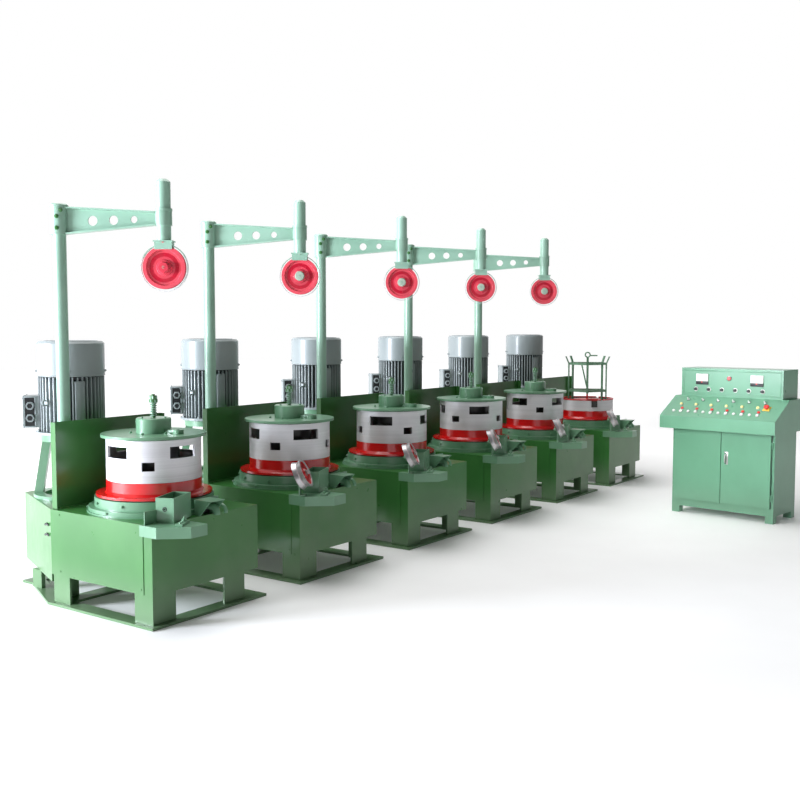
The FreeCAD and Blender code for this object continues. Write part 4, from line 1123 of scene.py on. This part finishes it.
def on_slope(across, share):
    """A place on the sloping desk: a share of its width and of its rise, +Z square to it."""
    foot = SLOPE_FRONT.lerp(SLOPE_BACK, share)
    return CONSOLE @ move(DESK_LEFT + DESK_WIDE * across, foot.y, foot.z) @ spin(SLOPE_TURN, "X")


def on_panel(across, height):
    """A place on the upright back panel, +Z pointing at the reader."""
    return CONSOLE @ move(CABINET_WIDE * across, PANEL_Y, height) @ spin(QUARTER, "X")


# %% [markdown]
# Switch plastics need little: a tint, a faint moulding texture and a soft gloss.  The lamps are
# the same plastic with a weak glow, as an indicator has when it is off in a bright hall.

# %% Console plastics
def plastic(name, colour, rough=0.3, glow=0.0):
    finish = Finish(name)
    grain = finish.noise(240.0, detail=3.0)
    cloud = finish.noise(18.0, detail=4.0)
    dark = tuple(part * 0.82 for part in colour)
    finish.set(Base_Color=finish.blend(cloud, dark, colour), Roughness=grain * 0.1 + rough,
               Normal=finish.bump(grain, 0.06, 0.0003))
    return finish.set(Emission_Color=colour, Emission_Strength=glow)


white_plastic = plastic("white_plastic", (0.86, 0.86, 0.84))
black_plastic = plastic("black_plastic", (0.020, 0.020, 0.022), rough=0.35)
red_plastic = plastic("red_plastic", (0.72, 0.018, 0.016))
red_lamp = plastic("red_lamp", (0.80, 0.12, 0.13), glow=0.15)
yellow_lamp = plastic("yellow_lamp", (0.86, 0.74, 0.30), glow=0.12)
yellow_plate = plastic("yellow_plate", (0.90, 0.56, 0.08))

# %% [markdown]
# One outline serves most of the round fittings.  Each kind of fitting is one piece, with the
# six channels' copies in it, one channel for each block of the line.

# %% Slope controls
CHANNELS = range(6)


def button_outline(radius, high, lip=0.0015):
    return [(0, 0), (radius, 0), (radius, high - lip), (radius - lip, high), (0, high)]


def control(name, mesh, material):
    """A piece that stands in for part of the frame's plain controls."""
    return piece(name, mesh, material, slot="control_plastic", replaces=("console_controls",))


def fittings(name, material, places, outline, steps=20):
    mesh = bmesh.new()
    for place in places:
        add_turned(mesh, outline, place, steps)
    return control(name, mesh, material)


def row(first, step, share):
    """Six places across the slope, at one share of its rise."""
    return [on_slope(first + step * channel, share) for channel in CHANNELS]


lamp_places = row(0.120, 0.1345, 0.56)
toggle_places = row(0.150, 0.1345, 0.80)
red_places = row(0.156, 0.1335, 0.36)
start_places = row(0.160, 0.1335, 0.23)
jog_places = row(0.094, 0.1335, 0.24)
STOP = on_slope(0.868, 0.55)
COLLAR = [(0.0, 0.0), (0.0155, 0.0), (0.0155, 0.003), (0.013, 0.005), (0.0, 0.005)]
fittings("slope_collars", steel, lamp_places + red_places + start_places + jog_places, COLLAR)
fittings("channel_lamps", yellow_lamp, lamp_places,
         [(0, 0.003), (0.0125, 0.003), (0.0125, 0.012), (0.009, 0.017), (0, 0.019)])
fittings("stop_buttons", red_plastic, red_places, button_outline(0.0125, 0.013))
fittings("start_buttons", white_plastic, start_places, button_outline(0.0125, 0.013))
fittings("jog_buttons", white_plastic, jog_places, button_outline(0.0105, 0.012))

mesh = bmesh.new()
for place in toggle_places:
    add_hex(mesh, 0.020, 0, 0.006, place)
    add_turned(mesh, [(0, 0.003), (0.004, 0.003), (0.0055, 0.026), (0.003, 0.030), (0, 0.030)],
               place @ spin(radians(18), "X"), 12)
control("channel_toggles", mesh, white_plastic)

mesh = bmesh.new()
for place in toggle_places:
    add_block(mesh, (-0.013, -0.013, 0), (0.013, 0.013, 0.003), place, soften=0.001)
control("toggle_plates", mesh, black_plastic)

mesh = bmesh.new()
add_block(mesh, (-0.030, -0.030, 0), (0.030, 0.030, 0.006), STOP, soften=0.0025)
control("stop_plate", mesh, yellow_plate)
fittings("stop_head", red_plastic, [STOP],
         [(0, 0.006), (0.012, 0.006), (0.012, 0.018), (0.022, 0.021), (0.023, 0.028),
          (0.018, 0.034), (0, 0.036)], steps=32)

# %% [markdown]
# The back panel has a folded frame, two meters with a white scale over a black strip, a red lamp
# and six knobs.  The meters carry plain ticks and a needle, and no lettering.

# %% Back panel
METERS = (0.215, 0.755)
METER_LOW, METER_HIGH = 1.145, 1.240
METER_HALF = 0.056
KNOB_HEIGHT = 1.103


def panel_block(mesh, left, right, low, high, out, soften=0.001):
    """A block that stands out from the panel."""
    add_block(mesh, (left, PANEL_Y - out, low), (right, PANEL_Y, high), CONSOLE, soften=soften)


mesh = bmesh.new()
SLOPE_TOP, PANEL_TOP = 1.040, 1.290
FOLD_IN, FOLD_OUT = 0.026, 0.018
panel_right = CABINET_WIDE - FOLD_OUT
for left, right, low, high in (
        (FOLD_OUT, panel_right, PANEL_TOP - FOLD_IN, PANEL_TOP - FOLD_OUT),
        (FOLD_OUT, panel_right, SLOPE_TOP + 0.020, SLOPE_TOP + 0.028),
        (FOLD_OUT, FOLD_IN, SLOPE_TOP + 0.027, PANEL_TOP - 0.025),
        (CABINET_WIDE - FOLD_IN, panel_right, SLOPE_TOP + 0.027, PANEL_TOP - 0.025)):
    panel_block(mesh, left, right, low, high, 0.003)
piece("panel_frame", mesh, console_lit_green)

cases, strips, marks, needles = bmesh.new(), bmesh.new(), bmesh.new(), bmesh.new()
for share in METERS:
    middle = CABINET_WIDE * share
    left, right = middle - METER_HALF, middle + METER_HALF
    panel_block(cases, left, right, METER_LOW + 0.028, METER_HIGH, 0.012, soften=0.002)
    panel_block(strips, left, right, METER_LOW, METER_LOW + 0.029, 0.013, soften=0.002)
    hub = on_panel(share, METER_LOW + 0.034) @ move(0, 0, 0.0125)
    for step in range(9):
        reach = 0.062 if step % 4 == 0 else 0.059
        add_block(marks, (-0.0008, 0.052, 0), (0.0008, reach, 0.0012),
                  hub @ spin(radians(-48 + 12 * step)))
    add_block(needles, (-0.0008, 0.006, 0.0004), (0.0008, 0.050, 0.0016),
              hub @ spin(radians(46)))
    add_turned(needles, disc(0.006, 0, 0.004), hub @ move(0, -0.012, 0), 16)
control("meter_faces", cases, white_plastic)
control("meter_strips", strips, black_plastic)
control("meter_ticks", marks, black_plastic)
control("meter_needles", needles, red_plastic)

knob_places = [on_panel(0.150 + 0.132 * step, KNOB_HEIGHT) for step in CHANNELS]
fittings("knob_skirts", white_plastic, knob_places,
         [(0, 0), (0.020, 0), (0.020, 0.004), (0.017, 0.006), (0, 0.006)], steps=28)
fittings("knob_caps", black_plastic, knob_places,
         [(0, 0.005), (0.0145, 0.005), (0.0135, 0.021), (0.011, 0.024), (0, 0.024)], steps=12)
POWER_LAMP = [on_panel(0.485, 1.205)]
fittings("power_lamp_bezel", steel, POWER_LAMP,
         [(0.016, 0), (0.022, 0), (0.022, 0.004), (0.017, 0.008), (0.016, 0.008), (0.016, 0)],
         steps=28)
fittings("power_lamp", red_lamp, POWER_LAMP,
         [(0, 0.002), (0.017, 0.002), (0.017, 0.008), (0.012, 0.014), (0, 0.016)], steps=28)

# %% [markdown]
# The right door has a bright pull handle.  Round both leaves and between them runs a thin black
# line, painted shade in the gaps where the leaves close.  It is a frame on the cabinet, a little
# larger than the leaves.

# %% Door furniture
DOOR_IN = 0.025
DOOR_WIDE = 0.436
door_low, door_high = (corner.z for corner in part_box("console_door_right"))
HANDLE_X = CABINET_WIDE - DOOR_IN - DOOR_WIDE + 0.046
handle = bmesh.new()
door_y = -0.0245
grip = door_low + (door_high - door_low) * 0.56
add_block(handle, (HANDLE_X - 0.018, door_y - 0.003, grip - 0.006),
          (HANDLE_X + 0.018, door_y + 0.001, grip + 0.106), CONSOLE, soften=0.0015)
add_rod(handle, [CONSOLE @ Vector((HANDLE_X, door_y - out, grip + up)) for out, up in
                 ((0, 0.010), (0.024, 0.016), (0.027, 0.050), (0.024, 0.084), (0, 0.090))],
        0.0055)
piece("door_pull", handle, steel, body="console_door_body_right", slot="control_plastic")

# A black frame round and between the leaves: painted shade in the door gaps.
GAP_MARGIN = 0.003
SHADE_LINE_WIDE = 0.009
leaf_left, leaf_right = DOOR_IN - GAP_MARGIN, CABINET_WIDE - DOOR_IN + GAP_MARGIN
shade_line_low, shade_line_high = door_low - GAP_MARGIN, door_high + GAP_MARGIN
middle = CABINET_WIDE / 2
gap_shade_mesh = bmesh.new()
for left, right, low, high in (
        (leaf_left, leaf_right, shade_line_low, shade_line_low + SHADE_LINE_WIDE),
        (leaf_left, leaf_right, shade_line_high - SHADE_LINE_WIDE, shade_line_high),
        (leaf_left, leaf_left + SHADE_LINE_WIDE, shade_line_low + SHADE_LINE_WIDE, shade_line_high - SHADE_LINE_WIDE),
        (leaf_right - SHADE_LINE_WIDE, leaf_right, shade_line_low + SHADE_LINE_WIDE, shade_line_high - SHADE_LINE_WIDE),
        (middle - SHADE_LINE_WIDE, middle + SHADE_LINE_WIDE, shade_line_low + SHADE_LINE_WIDE, shade_line_high - SHADE_LINE_WIDE)):
    add_block(gap_shade_mesh, (left, -0.0040, low), (right, 0.0005, high), CONSOLE, soften=0.0008)
piece("door_gap_shade", gap_shade_mesh, black_plastic, slot="control_plastic")
